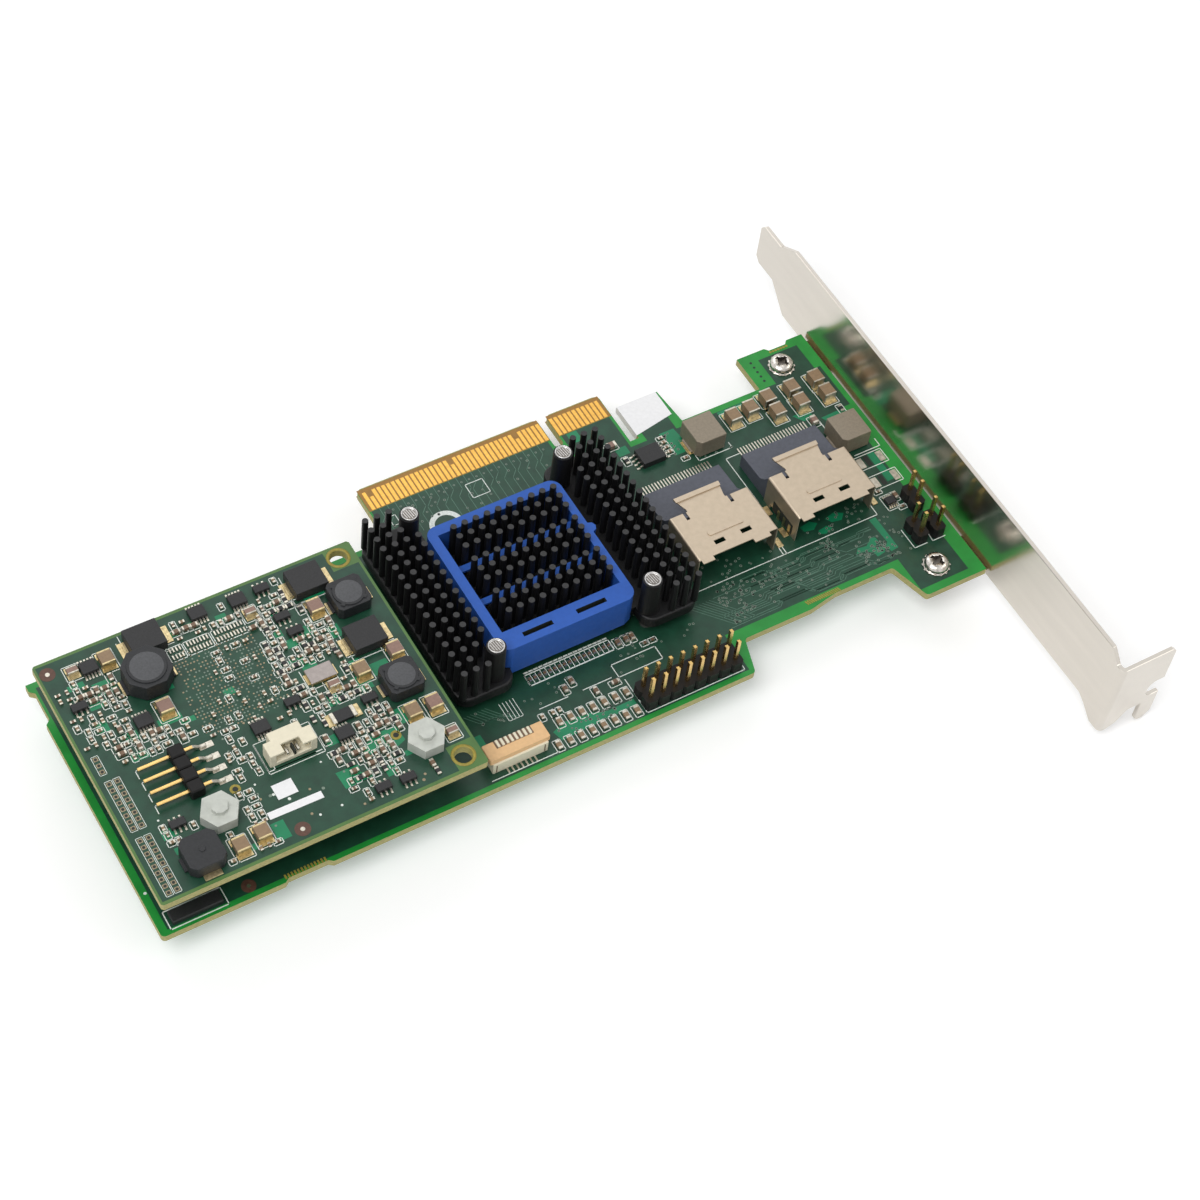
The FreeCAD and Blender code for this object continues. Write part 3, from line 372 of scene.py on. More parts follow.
def pressing(side):
    # the long rib lower and further back, the slots before it a little larger
    low, high = boxOf("sas_cage_" + side)
    front, middle = low.y + cage["tab"], (low.x + high.x) / 2 + cage["ribShift"]

    def reshape(x, y, z):
        if (abs(x - middle) < cage["ribHalf"][0] and z > cage["roof"]
                and abs(y - front - cage["rib"]) < cage["ribHalf"][1]):
            return (middle - 0.3 + (x - middle) * cage["ribShare"], y + cage["ribBack"],
                    min(z, cage["ribTop"]))
        for slot in cage["slots"]:
            if abs(y - front - cage["slot"]) < 0.4 and abs(x - low.x - slot) < 1:
                return (low.x + slot + (x - low.x - slot) * cage["slotLength"],
                        front + cage["slot"] + (y - front - cage["slot"]) * cage["slotWidth"], z)
        return x, y, z
    return reshape


for side in ("left", "right"):
    softened("sas_cage_" + side, ["cageNickel"], cage["edge"],
             rounded=(isRibEnd, cage["ribRound"]), reshape=pressing(side))
    softened("sas_body_" + side, ["portGrey"])
    softened("power_inductor_" + side, ["brickGrey", "giltTin"], 0.22, 2,
             below(0.35))
for node, edge in (("status_bar", 0.15), ("monitor_chip", 0.12), ("clock_chip", 0.1),
                   ("driver_chips", 0.1), ("small_transistors", 0.12)):
    softened(node, ["chipBlack"], edge)
softened("angle_header_blocks", ["headerBlack"], 0.3, 1)
softened("battery_socket", ["cream"], 0.14)
softened("nylon_nuts", ["nylon"], 0.28, 3)
softened("angle_header_pins", ["pinGold", "tin"], 0.12, 1,
         lambda face: int(face.calc_center_median().x > -95.5 * mm))  # the feet are tinned
softened("crystal", ["giltTin", "crystalTop"], 0.14, 2,
         lambda face: int(face.normal.z > 0.7 and face.calc_center_median().z > 10.4 * mm))

coil = {"rounds": {"drum_inductor": 3, "shielded_inductor_far": 2.45,
                   "shielded_inductor_near": 2.45, "output_inductor": 0},
        "rim": 0.42, "notch": (0.9, 0.75, 0.06)}
for node, radius in coil["rounds"].items():  # radius of the round top of each
    softened(node, ["ferriteBlack"], 0.3, 3)
    if radius:
        x, y = middleOfBox(node)
        top, reach = boxOf(node)[1].z, radius + coil["rim"]
        disc = bmesh.new()
        addRound(disc, x, y, top - 0.25, reach + 0.08, 0.26, 0, 48, reach)
        addSpun(disc, x, y, [(0, top + 0.03), (radius - 0.15, top + 0.03), (radius, top),
                             (radius, top - 0.05), (0, top - 0.05)], 1, 48)
        if node != "drum_inductor":
            for turn in (45, 135, 225, 315):  # notches where the winding comes out
                angle = math.radians(turn)
                addBlock(disc, x + math.cos(angle) * reach, y + math.sin(angle) * reach,
                         top - 0.04, *coil["notch"], 0, turn, 0.02)
        finishPiece(node + "_disc", disc, ["ferriteBlack", "discGrey"])

softened("power_diodes", ["chipBlack", "giltTin"], 0.16, 2, below(10.36))
low = boxOf("battery_socket")[0]
x = middleOfBox("battery_socket")[0]
contacts = bmesh.new()
for shift in (-1, 1):
    addBlock(contacts, x + shift, low.y + 1.35, low.z + 1.65, 0.5, 2.3, 0.5, 0, 0, 0.08)
# a near-black block at the socket's front, in the finish painted for hole shade
addBlock(contacts, x + 0.3, low.y + 0.9, low.z + 0.96, 0.35, 1.7, 1.3, 1)
finishPiece("socket_contacts", contacts, ["tin", "holeShadeAndBlack"])
walls = bmesh.new()
for side in ("left", "right"):  # a near-black sheet painted as the shade in the open side of each cage, with its tabs
    left = boxOf("sas_cage_" + side)[0].x
    addBlock(walls, left - 0.01, cage["wallY"], 0.5, *cage["wall"])
    for y in cage["tabs"]:
        addBlock(walls, left - 0.05, y, 0, 0.12, 0.7, 2.4, 1)
finishPiece("cage_tabs_and_painted_openings", walls, ["holeShadeAndBlack", "giltTin"])
print("softened pieces made")


# Diagnostic connector: a peach cover with a row of contact tips over a cream shroud

diag = {"cap": 1.25, "inset": 0.45, "groove": 1.15, "tips": 8, "tipPitch": 0.9, "tipBack": 0.85,
        "tip": (0.5, 1.5), "leads": 7, "leadPitch": 0.92, "lead": (0.34, 1.3)}
low, high = boxOf("diagnostic_connector")
middle, length, capFoot = (low.x + high.x) / 2, high.x - low.x, high.z - diag["cap"]
connector = bmesh.new()
addSlab(connector, low.x, high.x, low.y + 0.35, high.y, capFoot, diag["cap"], 0.25, 0.12, 2)
addBlock(connector, middle, (low.y + high.y) / 2, 0, length - 2 * diag["inset"],
         high.y - low.y, capFoot + 0.1, 1, 0, 0.12)
# two thin dark-brown strips on the shroud's front are the painted shade of its slots
for side in (-1, 1):
    addBlock(connector, middle + side * (length / 2 - diag["groove"]), low.y, 0.3, 0.22, 0.06,
             capFoot - 0.6, 2)
# a dark-brown sheet under the tips is the painted shade in the gaps between them
addBlock(connector, middle, high.y - diag["tipBack"], high.z - 0.02,
         diag["tips"] * diag["tipPitch"] + 0.2, diag["tip"][1] + 0.1, 0.04, 2)
for shift in spaced(diag["tips"], diag["tipPitch"]):
    addBlock(connector, middle + shift, high.y - diag["tipBack"], high.z - 0.02, *diag["tip"],
             0.3, 1, 0, 0.08)
finishPiece("diagnostic_shroud", connector, ["peach", "cream", "ceramicBrown"],
            ("diagnostic_connector",))
leads = bmesh.new()
for shift in spaced(diag["leads"], diag["leadPitch"]):
    addBlock(leads, middle + shift, low.y - 0.45, 0.02, *diag["lead"], 0.22, 0, 0, 0.04)
finishPiece("diagnostic_leads", leads, ["tin"], ("diagnostic_contacts",))
print("diagnostic connector made")


# Boards: laminate edges, mask on both faces

for name, maskName in (("main", "maskBright"), ("backup", "maskOlive")):
    mesh = nodeMesh(name + "_board")
    for face in mesh.faces:
        face.material_index = int(abs(face.normal.z) < 0.9)
    finishPiece(name + "_panel", mesh, [maskName, "laminate"], (name + "_board",))
print("boards made")


# Heatsink: two strips and a middle plate, with round fins where the node's square ones stand

sink = {"finTop": 12.5, "postTop": 13.3, "plate": 2.2, "strip": 11.5, "corner": 2.6, "rim": 0.4,
        "foot": 0.66, "tip": 0.6, "sides": 12, "post": 1.8, "middleNear": 4.2, "middleFar": 7.9}
posts = [middleOf(plan) for plan in topPlans("heatsink_pins", boxOf("heatsink_pins")[1].z)]
low, high = boxOf("heatsink")
finFoot = low.z + sink["plate"] - 0.1
heatsink = bmesh.new()
for left, right in ((low.x, low.x + sink["strip"]), (high.x - sink["strip"], high.x)):
    addSlab(heatsink, left, right, low.y, high.y, low.z, sink["plate"], sink["corner"],
            sink["rim"])
addBlock(heatsink, (low.x + high.x) / 2,
         (low.y + high.y + sink["middleNear"] - sink["middleFar"]) / 2, low.z + 0.02,
         high.x - low.x - 2 * sink["strip"] + 1,
         high.y - low.y - sink["middleNear"] - sink["middleFar"], sink["plate"] - 0.04)
for plan in topPlans("heatsink", sink["finTop"]):
    addRound(heatsink, *middleOf(plan), finFoot, sink["foot"], sink["finTop"] - finFoot, 0,
             sink["sides"], sink["tip"], 1)
for x, y in posts:
    addRound(heatsink, x, y, finFoot, sink["post"] + 0.12, sink["postTop"] - finFoot, 0, 32,
             sink["post"])
finishPiece("heatsink_fins", heatsink, ["sinkBlack", "finTip"], ("heatsink",))

rivet = {  # turned profiles of the bright ring and of the shank, and the dish, which is painted dark grey as the shade and dark reflections in the hollow
    "ring": [(0, 13.4), (1.2, 13.4), (1.28, 13.48), (1.33, 13.61), (1.41, 13.66), (1.5, 13.61),
             (1.55, 13.48), (1.55, 13.3), (0, 13.3)],
    "shank": [(0, 13.3), (1.18, 13.3), (1.18, -1.57), (1.7, -1.57), (1.6, -2), (1, -2.37),
              (0, -2.37)],
    "dish": (13.4, 1.17, 0.03), "scorePitch": 0.42, "scoreTurn": 8}
rivets = bmesh.new()
for x, y in posts:
    addSpun(rivets, x, y, rivet["ring"], 0, 36)
    addSpun(rivets, x, y, rivet["shank"], 1, 24)
    addRound(rivets, x, y, *rivet["dish"], 2, 24)
    for number in range(-2, 3):  # scored bottom of the dish
        addBlock(rivets, x + number * rivet["scorePitch"], y, rivet["dish"][0] + 0.02, 0.13,
                 2.2 - abs(number) * 0.4, 0.04, 0, rivet["scoreTurn"])
finishPiece("fixing_rivets", rivets, ["rivetSilver", "holeShadeAndBlack", "paintedRecessShade"],
            ("heatsink_pins",))
print("heatsink made")


# Bracket screws: pan heads with a cross recess over a toothed washer, the recess painted dark as
# shade

def cutAway(mesh, tool):
    # what is left of one mesh outside another
    stock, cutter = meshObject("stock", mesh), meshObject("cutter", tool)
    change = stock.modifiers.new("cut", "BOOLEAN")
    change.operation = "DIFFERENCE"
    change.object = cutter
    change.use_self = True
    result = bmesh.new()
    result.from_object(stock, bpy.context.evaluated_depsgraph_get())
    bpy.data.objects.remove(stock)
    bpy.data.objects.remove(cutter)
    return result


screw = {"places": ((48.9, -9.9), (48.9, -63.9)), "crossFoot": 0.85, "arm": (2.7, 0.66),
         "turn": 25, "teeth": 14, "toothReach": 2.5, "tooth": (0.45, 0.5, 0.34),
         "head": [(0, 1.78), (0.9, 1.76), (1.6, 1.66), (2.1, 1.4), (2.36, 1), (2.38, 0.42),
                  (2.38, 0.3), (1.45, 0.3), (1.45, -3.3), (0, -3.3)],
         "washer": [(1.5, 0), (2.55, 0), (2.62, 0.1), (2.4, 0.34), (1.5, 0.34), (1.5, 0)]}
heads, crosses = bmesh.new(), bmesh.new()
for x, y in screw["places"]:
    addSpun(heads, x, y, screw["head"], 0, 40)
    # the cutter's faces carry the second finish, so each recess is painted dark as shade
    for turn in (screw["turn"], screw["turn"] + 90):
        addBlock(crosses, x, y, screw["crossFoot"], *screw["arm"], 1.2, 1, turn)
    addRound(crosses, x, y, screw["crossFoot"], 0.6, 1.2, 1, 12, 1.05)
heads = cutAway(heads, crosses)
for x, y in screw["places"]:
    addSpun(heads, x, y, screw["washer"], 0, 40)
    for number in range(screw["teeth"]):
        angle = math.tau * number / screw["teeth"]
        addBlock(heads, x + math.cos(angle) * screw["toothReach"],
                 y + math.sin(angle) * screw["toothReach"], 0.02, *screw["tooth"], 0,
                 math.degrees(angle) + 20, 0.05)
finishPiece("screw_heads", heads, ["screwSteel", "paintedRecessShade"], ("bracket_screws",))
print("screws made")


# Chip parts with metal ends

def addCapped(mesh, x, y, z, length, width, height, body=0, cap=1, turn=0, band=0.2):
    # ends lie along +Y unless turned
    addBlock(mesh, x, y, z, length * 0.96, width * (1 - 2 * band) + 0.02, height * 0.96, body,
             turn)
    dx, dy = math.sin(math.radians(turn)), math.cos(math.radians(turn))
    for side in (-1, 1):
        reach = side * width * (0.5 - band / 2)
        addBlock(mesh, x - dx * reach, y + dy * reach, z, length, width * band, height, cap,
                 turn, min(0.08, height * 0.18) if width > 1.2 else 0)


for node, bodies, band, cap, slot in (
        ("input_capacitors", ["ceramicTan"], 0.11, "tin", "ceramic_tan"),
        ("filter_capacitors", ["ceramicTan", "ceramicRose"], 0.13, "giltTin", "ceramic_tan"),
        ("bypass_capacitors", ["ceramicRose"], 0.2, "tin", "ceramic_tan"),
        ("termination_resistors", ["ceramicBrown"], 0.28, "tin", "ceramic_tan"),
        ("sense_resistor", ["chipBlack"], 0.17, "tin", "chip_black")):
    mesh = bmesh.new()
    low, high = boxOf(node)
    for number, plan in enumerate(topPlans(node)):
        size, turn = (plan[1] - plan[0], plan[3] - plan[2]), 0
        if node == "sense_resistor":  # its ends lie along X
            size, turn = size[::-1], 90
        addCapped(mesh, *middleOf(plan), low.z, *size, high.z - low.z, number % len(bodies),
                  len(bodies), turn, band)
    finishPiece(node + "_capped", mesh, [*bodies, cap], (node,))
print("chip parts made")


# Header pins with pointed tips and soldered tails, and their strips of cells with cut corners

header = {"reach": 1.3, "side": 0.6, "fillet": (0.4, 0.95, 0.7), "tip": 0.2, "half": 1.27,
          "corner": 0.42}
strips = {"signal_header_base": ("signal_header_pins", "signal_pins"),
          "jumper_bases": ("jumper_pins", "jumper_posts")}
for node, name in strips.values():
    mesh = nodeMesh(node)
    for face in [face for face in mesh.faces if face.normal.z > 0.9]:
        bevelLines(mesh, face.edges, header["tip"], 1, True)
    under = boxOf("main_board")[0].z
    narrow, wide, tall = header["fillet"]
    for x, y in map(middleOf, topPlans(node)):
        addBlock(mesh, x, y, under - header["reach"], header["side"], header["side"],
                 header["reach"])
        addRound(mesh, x, y, under - tall, narrow, tall, 1, 12, wide)
    finishPiece(name, mesh, ["pinGold", "tin"], (node,))
for node, (pinNode, name) in strips.items():
    mesh = bmesh.new()
    low, high = boxOf(node)
    half = header["half"]
    for x, y in map(middleOf, topPlans(pinNode)):
        addSlab(mesh, x - half, x + half, y - half, y + half, low.z, high.z - low.z,
                header["corner"], segments=1)
    finishPiece(node + "_cells", mesh, ["headerBlack"], (node,))
print("header pins made")


# Printed layers of the boards: mask fields, traces, vias, white lines, pads and small parts

printNames = ["maskDark", "maskEmerald", "maskTrace", "silk", "tin", "giltTin", "holeShadeAndBlack",
              "fingerTan", "rust", "chipBlack", "ceramicTan", "ceramicBrown", "ceramicRose",
              "paper", "viaGrey", "padTan", "olive"]
ink = {name: number for number, name in enumerate(printNames)}
layer = {"field": 0.012, "patch": 0.018, "trace": 0.028, "silk": 0.036, "pad": 0.045,
         "hole": 0.055, "label": 0.07}


def newSheet(level, fields):
    # the print on the top face of a board, begun with its dark fields
    sheet = level, {kind: bmesh.new() for kind in ("mask", "traces", "marks", "parts")}
    for plan in fields:
        addField(sheet, plan, "maskDark", "field")
    return sheet


def finishSheet(sheet, name):
    for kind, mesh in sheet[1].items():
        finishPiece(name + "_" + kind, mesh, printNames)


def addPlate(sheet, kind, x, y, length, width, height, finish, turn=0, edge=0, drop=0):
    level, meshes = sheet
    addBlock(meshes[kind], x, y, level - drop, length, width, height, ink[finish], turn, edge)


def addDot(sheet, kind, x, y, radius, finish, sides, height="silk"):
    level, meshes = sheet
    addRound(meshes[kind], x, y, level, radius, layer[height], ink[finish], sides)


def addPath(sheet, points, width=0.17, finish="silk"):
    kind, height = ("marks", "silk") if finish == "silk" else ("traces", "trace")
    for start, end in zip(points, points[1:]):
        across, along = end[0] - start[0], end[1] - start[1]
        addPlate(sheet, kind, (start[0] + end[0]) / 2, (start[1] + end[1]) / 2,
                 math.hypot(across, along) + width, width, layer[height], finish,
                 math.degrees(math.atan2(along, across)))


def addOutline(sheet, x, y, length, width, stroke=0.15):
    left, right, near, far = x - length / 2, x + length / 2, y - width / 2, y + width / 2
    addPath(sheet, [(left, near), (right, near), (right, far), (left, far), (left, near)], stroke)


def addField(sheet, plan, finish="maskEmerald", height="patch", drop=0):
    left, right, near, far = plan
    addPlate(sheet, "mask", *middleOf(plan), right - left, far - near, layer[height], finish,
             drop=drop)


def addPatch(sheet, points, kind="mask", finish="maskEmerald", height=layer["patch"], lift=0):
    # a flat shape with a free outline
    level, meshes = sheet
    mesh = meshes[kind]
    corners = [mesh.verts.new(Vector((x, y, level + lift)) * mm) for x, y in points]
    face = mesh.faces.new(corners)
    face.material_index = ink[finish]
    grown = bmesh.ops.extrude_face_region(mesh, geom=[face], use_keep_orig=True)
    raised = [part for part in grown["geom"] if isinstance(part, bmesh.types.BMVert)]
    bmesh.ops.translate(mesh, verts=raised, vec=(0, 0, height * mm))
    whole = {side for corner in corners + raised for side in corner.link_faces}
    bmesh.ops.recalc_face_normals(mesh, faces=list(whole))


def addVia(sheet, x, y, radius=0.26, finish="viaGrey", hole=True):
    addDot(sheet, "traces", x, y, radius, finish, 8)
    # a near-black dot in the middle is the painted shade of the hole
    if hole:
        addDot(sheet, "traces", x, y, radius * 0.5, "holeShadeAndBlack", 6, "pad")


smallParts = {  # length, width, height and body
    "tiny": (0.5, 1, 0.35, "ceramicBrown"), "tan": (0.55, 1, 0.5, "ceramicTan"),
    "black": (0.8, 1.55, 0.42, "chipBlack"), "rose": (1.25, 2, 1, "ceramicRose"),
    "brown": (0.8, 1.6, 0.8, "ceramicBrown"), "gold": (0.95, 1.8, 0.6, "ceramicTan"),
}


def addChip(sheet, x, y, kind="tan", turn=0, outline=True):
    # a small two-ended part, laid along +Y unless turned
    length, width, height, body = smallParts[kind]
    addCapped(sheet[1]["parts"], x, y, sheet[0] + layer["silk"], length, width, height, ink[body],
              ink["tin"], turn, 0.28)
    if outline:
        across, along = (width + 0.7, length + 0.6) if turn else (length + 0.6, width + 0.7)
        addOutline(sheet, x, y, across, along)


def addLegs(sheet, x, y, length, width, count, reach, alongX=True, height=0.5):
    # gull legs down both sides of a package: a shelf, a knee and a foot
    for shift in spaced(count, length / count):
        for side in (-1, 1):
            for far, size, low, tall in ((0.25, reach * 0.5, height * 0.5, 0.14),
                                         (0.45, 0.14, 0.04, height * 0.5 + 0.1),
                                         (0.7, reach * 0.6, 0.02, 0.14)):
                out = side * (width / 2 + reach * far)
                place = (x + shift, y + out) if alongX else (x + out, y + shift)
                shape = (0.34, size) if alongX else (size, 0.34)
                addPlate(sheet, "parts", *place, *shape, tall, "tin", drop=-low)


def addPads(sheet, x, y, reach, size, height=0.14, finish="giltTin", alongX=True):
    # a pair of soldered pads
    for side in (-1, 1):
        place = (x + side * reach, y) if alongX else (x, y + side * reach)
        addPlate(sheet, "parts", *place, *size, height, finish, 0, 0.03)


def takenBoxes(nodes, margin):
    return [(left - margin, right + margin, near - margin, far + margin)
            for node in nodes for left, right, near, far in topPlans(node)]


def isFree(x, y, boxes):
    return not any(left < x < right and near < y < far for left, right, near, far in boxes)


def apart(one, other):
    # two plans that don't overlap
    return one[1] < other[0] or other[1] < one[0] or one[3] < other[2] or other[3] < one[2]


def scatter(sheet, region, step, share, kinds, outline, taken):
    # rows of small parts, thinned out and nudged, clear of the larger ones
    left, right, near, far = region
    for row in range(int((far - near) / step)):
        for column in range(int((right - left) / step)):
            x = left + step * (column + 0.5) + dice.uniform(-0.2, 0.2)
            y = near + step * (row + 0.5) + dice.uniform(-0.12, 0.12)
            kind, turn = dice.choice(kinds), dice.choice((0, 0, 90))
            drawn, placed = dice.random() < outline, dice.random() < share
            if placed and isFree(x, y, taken):
                addChip(sheet, x, y, kind, turn, drawn)
                taken.append((x - 0.75, x + 0.75, y - 0.75, y + 0.75))


def addRing(sheet, x, y, outer, inner):
    # a round mark with a tinned middle
    addDot(sheet, "marks", x, y, outer, "rust", 24)
    addDot(sheet, "marks", x, y, inner, "tin", 12, "pad")


# Main board print. Plans are left, right, near and far, as everywhere.

mainPrint = {
    "fields": (
        (-109.2, 5, -67.9, -14.2), (5, 43.2, -59.5, -14.2), (43.2, 54, -67.3, -24),
        (45.6, 54.6, -13.2, -6.6), (43.2, 55.9, -24, -13.2), (-39.2, -1.6, -14.2, -5.95),
        (1.4, 12, -14.2, -5.95), (15.6, 22.2, -14.2, -5.6)),
    "fingers": ((-39.5, -1, -5.9, -0.5), (1, 12.5, -5.9, -0.5)),
    "bright": (
        (8.8, 11.2, -15.4, -13.4), (51.9, 53.4, -43.2, -35.8), (31.2, 39.6, -15.8, -14.3),
        (-46.6, -44.9, -61.5, -58), (2.4, 4.6, -8.6, -6)),
    "brightShapes": (
        [(18.4, -13.9), (21.6, -13.9), (21.9, -16.2), (21.2, -19.8), (18.7, -19.8)],
        [(43.4, -49.4), (44.9, -49.4), (44.9, -57.2), (43.2, -57.4), (42.9, -56), (43.7, -55.2)],
        [(36.9, -55), (37.8, -54), (39.6, -54.3), (41.3, -53.1), (42.2, -53.3), (42.3, -54.2),
         (40.9, -55.2), (42.6, -56), (42, -57), (40.2, -57.3), (40, -56), (38.6, -55.3)],
        [(-33.2, -63.4), (-30.4, -62.4), (-26, -62.7), (-22.2, -63.9), (-17, -63.8),
         (-16.9, -64.9), (-20.6, -65.2), (-28.6, -65.4), (-32.6, -65.6)],
        [(44, -21.6), (47.6, -21.6), (47.9, -23.8), (45.4, -23.6)],
        [(48.9, -24.4), (54.4, -24.2), (54.6, -26.8), (50.2, -27.2)],
        [(30.6, -45), (33, -44.6), (34.2, -45.6), (32.8, -46.6), (30.9, -46.2)],
        [(36, -45.4), (38.4, -44.8), (40, -45.8), (38.8, -47), (36.8, -46.6)],
        [(33.4, -47.2), (35.4, -46.9), (36.2, -47.8), (34.4, -48.4), (33.2, -48)]),
    "jogs": ((12, 0.9), (19, -1.2), (26, 0.8), (33, -0.9), (39, 0.7)),
    "vias": (  # a plan and a count
        ((8, 13.5, -58.3, -49.8), 60), ((13.5, 21, -57.5, -50), 34), ((21, 31, -58.5, -49.6), 26),
        ((31.5, 34.5, -54, -49.6), 26), ((37, 44.6, -58.6, -52.8), 54),
        ((31, 44.5, -48.6, -44.9), 30), ((8.5, 24, -48.6, -44.4), 18),
        ((45, 47.4, -58.5, -48.6), 10), ((-44, 2, -58, -53.8), 34), ((-13, -3, -49.5, -46.8), 10),
        ((-33, -17, -65.3, -62.9), 24), ((18.6, 21.2, -19.6, -14.2), 14),
        ((-38, -4, -13.6, -7.5), 26), ((22.5, 30.5, -23.2, -20.8), 10)),
    "lines": (
        [(5.6, -49), (45.6, -49)], [(26.8, -36.5), (26.8, -24.8), (30, -24.8)],
        [(24.5, -49), (24.5, -44.6)], [(25.2, -49), (25.2, -44.6)],
        [(48.1, -33), (48.1, -24.6)], [(45.6, -49), (45.6, -44.8)],
        [(22, -19.6), (22, -22.9), (29.4, -22.9), (29.4, -21.6)],
        [(-16.2, -59.6), (-16.2, -67.5), (4.3, -67.5), (4.3, -66.6)],
        [(-32.9, -58.1), (-27.2, -58.1)], [(-24, -58.1), (-18.2, -58.1)],
        [(-47.6, -67.4), (-34.2, -67.4)], [(49.6, -35.2), (55.4, -35.2), (55.4, -33.4)],
        [(47.6, -54.2), (47.6, -58.8), (50.4, -58.8)],
        [(52, -55), (51.6, -58.9), (54.4, -58.9)]),
    "chips": {  # kind and turn
        ("black", 0): ((9.4, -16.9), (53.6, -24.2)),
        ("tiny", 90): ((18, -15), (18, -17.4), (51, -49.6), (48.6, -44.6), (-7.4, -54.4),
            (-9, -54.4), (20, -21.2)),
        ("tan", 90): ((18, -16.2), (18, -18.6)),
        ("rose", 90): ((8.5, -12.6),),
        ("rose", 0): ((47, -24.6),),
        ("brown", 0): ((51, -46.9), (-26.9, -56.6), (-25.1, -55.6), (-22.2, -59.5),
            (-13.4, -52.2), (-11.7, -52.2), (-10.5, -52.2)),
        ("brown", 90): ((-18.2, -59.4),),
        ("tan", 0): ((-33.4, -59.9), (-31.3, -60), (-30, -60))},
    "chipRows": ((-62.1, -31.2, 7), (-66.3, -33.7, 8)), "chipPitch": 2.29,
    "label": [(14.42, -12.3), (23.2, -10.7), (23.2, -4.55), (14.42, -4.55)],
}
main = newSheet(0, mainPrint["fields"])
for plan in mainPrint["fingers"]:  # bare laminate between the contacts, on both faces
    for drop in (0, layer["patch"] - boxOf("main_board")[0].z):
        addField(main, plan, "fingerTan", drop=drop)
for plan in mainPrint["bright"]:
    addField(main, plan)
for points in mainPrint["brightShapes"]:
    addPatch(main, points)

for number in range(22):  # traces from the fingers towards the controller
    x, bend = -37.5 + number * 1.6, -8.2 - (number % 3) * 0.5
    addPath(main, [(x, -5.9), (x, bend), (x - 1.4, bend - 1.4), (x - 1.4, -14.1)], 0.13,
            "maskTrace")
    addVia(main, x + 0.55, -7.3, 0.22)
for number in range(20):  # traces in front of the ports
    y = -50.2 - number * 0.45
    first, last = dice.randint(0, 2), dice.randint(3, 5)
    points = [(6.5 + dice.uniform(0, 3) + first * 5, y)]
    for middle, rise in mainPrint["jogs"][first:last]:
        points.append((middle + number * 0.3, y))
        y += rise
        points.append((middle + number * 0.3 + abs(rise), y))
    points.append((min(42.5, points[-1][0] + dice.uniform(2, 7)), y))
    addPath(main, [(x, min(-49.7, max(-59, y))) for x, y in points if x < 43], 0.12,
            "maskTrace")
for number in range(7):  # slanted bundles beside the header and the diagnostic connector
    shift = number * 0.72
    for points in ([(2.2 + shift, -51.6), (8.2 + shift, -58.4)],
                   [(-45.8 + shift, -53.6), (-43.8 + shift, -56),
                    (-41 + shift, -56 - number * 0.3)]):
        addPath(main, points, 0.12, "maskTrace")
for (left, right, near, far), count in mainPrint["vias"]:
    for number in range(count):
        addVia(main, dice.uniform(left, right), dice.uniform(near, far), dice.uniform(0.2, 0.3))

for points in mainPrint["lines"]:
    addPath(main, points)
for x in (-38.9, -38.2, -37.5, -36.8, -36.1):
    addPath(main, [(x, -54), (x, -57.9)], 0.12)
addPath(main, [(-38.9, -57.9), (-36.1, -57.9)], 0.12)
row = topPlans("termination_resistors")
rowLeft, rowRight = min(plan[0] for plan in row), max(plan[1] for plan in row)
addOutline(main, (rowLeft + rowRight) / 2, -51.9, rowRight - rowLeft + 0.5, 2.4, 0.22)
for plan in row:
    left = plan[0]
    addPath(main, [(left - 0.25, -50.8), (left - 0.25, -53)], 0.13)
    addPath(main, [(left, -50.25), (left + 0.55, -50.25)], 0.32)
for x, y, length, width, stroke in ((-18.9, -9.9, 3.6, 3.4, 0.16), (-36.3, -9.6, 1.4, 2.2, 0.15),
                                    (-12.3, -57.2, 9.2, 2.9, 0.18)):
    addOutline(main, x, y, length, width, stroke)
low, high = boxOf("status_bar")
addOutline(main, *middleOfBox("status_bar"), high.x - low.x + 1.2, high.y - low.y + 1.2, 0.2)
addDot(main, "marks", -28.1, -14.9, 3.3, "silk", 40)
addDot(main, "marks", -28.1, -14.9, 2.3, "maskDark", 40, "pad")

for plan in topPlans("input_capacitors"):
    addPads(main, *middleOf(plan), 1.5, (2.7, 1.3), 0.12, "giltTin", False)
    addOutline(main, *middleOf(plan), 3.4, 4.7, 0.14)
for (kind, turn), places in mainPrint["chips"].items():
    for x, y in places:
        addChip(main, x, y, kind, turn)
for y, first, count in mainPrint["chipRows"]:
    for number in range(count):
        addChip(main, first + number * mainPrint["chipPitch"], y, "gold")
for y in (-37.4, -42.5):  # two places left empty
    addOutline(main, 51.8, y, 6.4, 3.2, 0.16)
    addPads(main, 51.8, y, 2.25, (1.3, 2.4), 0.1, "tin")
    addField(main, (50.6, 51.6, y - 1.2, y + 1.2), "holeShadeAndBlack", "trace")
addOutline(main, 49.4, -47.6, 2.6, 3.6, 0.14)
addLegs(main, 49.4, -47.6, 2, 1.6, 4, 0.7)
addLegs(main, 13.9, -18, 3.9, 4.9, 4, 1.2, False, 0.8)
for x, y in ((24.8, -19.2), (50.2, -31)):
    addPads(main, x, y, 3.3, (1.2, 3.4), 0.16)
for x, y in ((25, -41), (25, -46.2), (46.6, -45.8), (27.2, -39), (27.2, -44.6)):
    addPlate(main, "parts", x, y, 1.2, 2.2, 0.25, "giltTin", 0, 0.08)

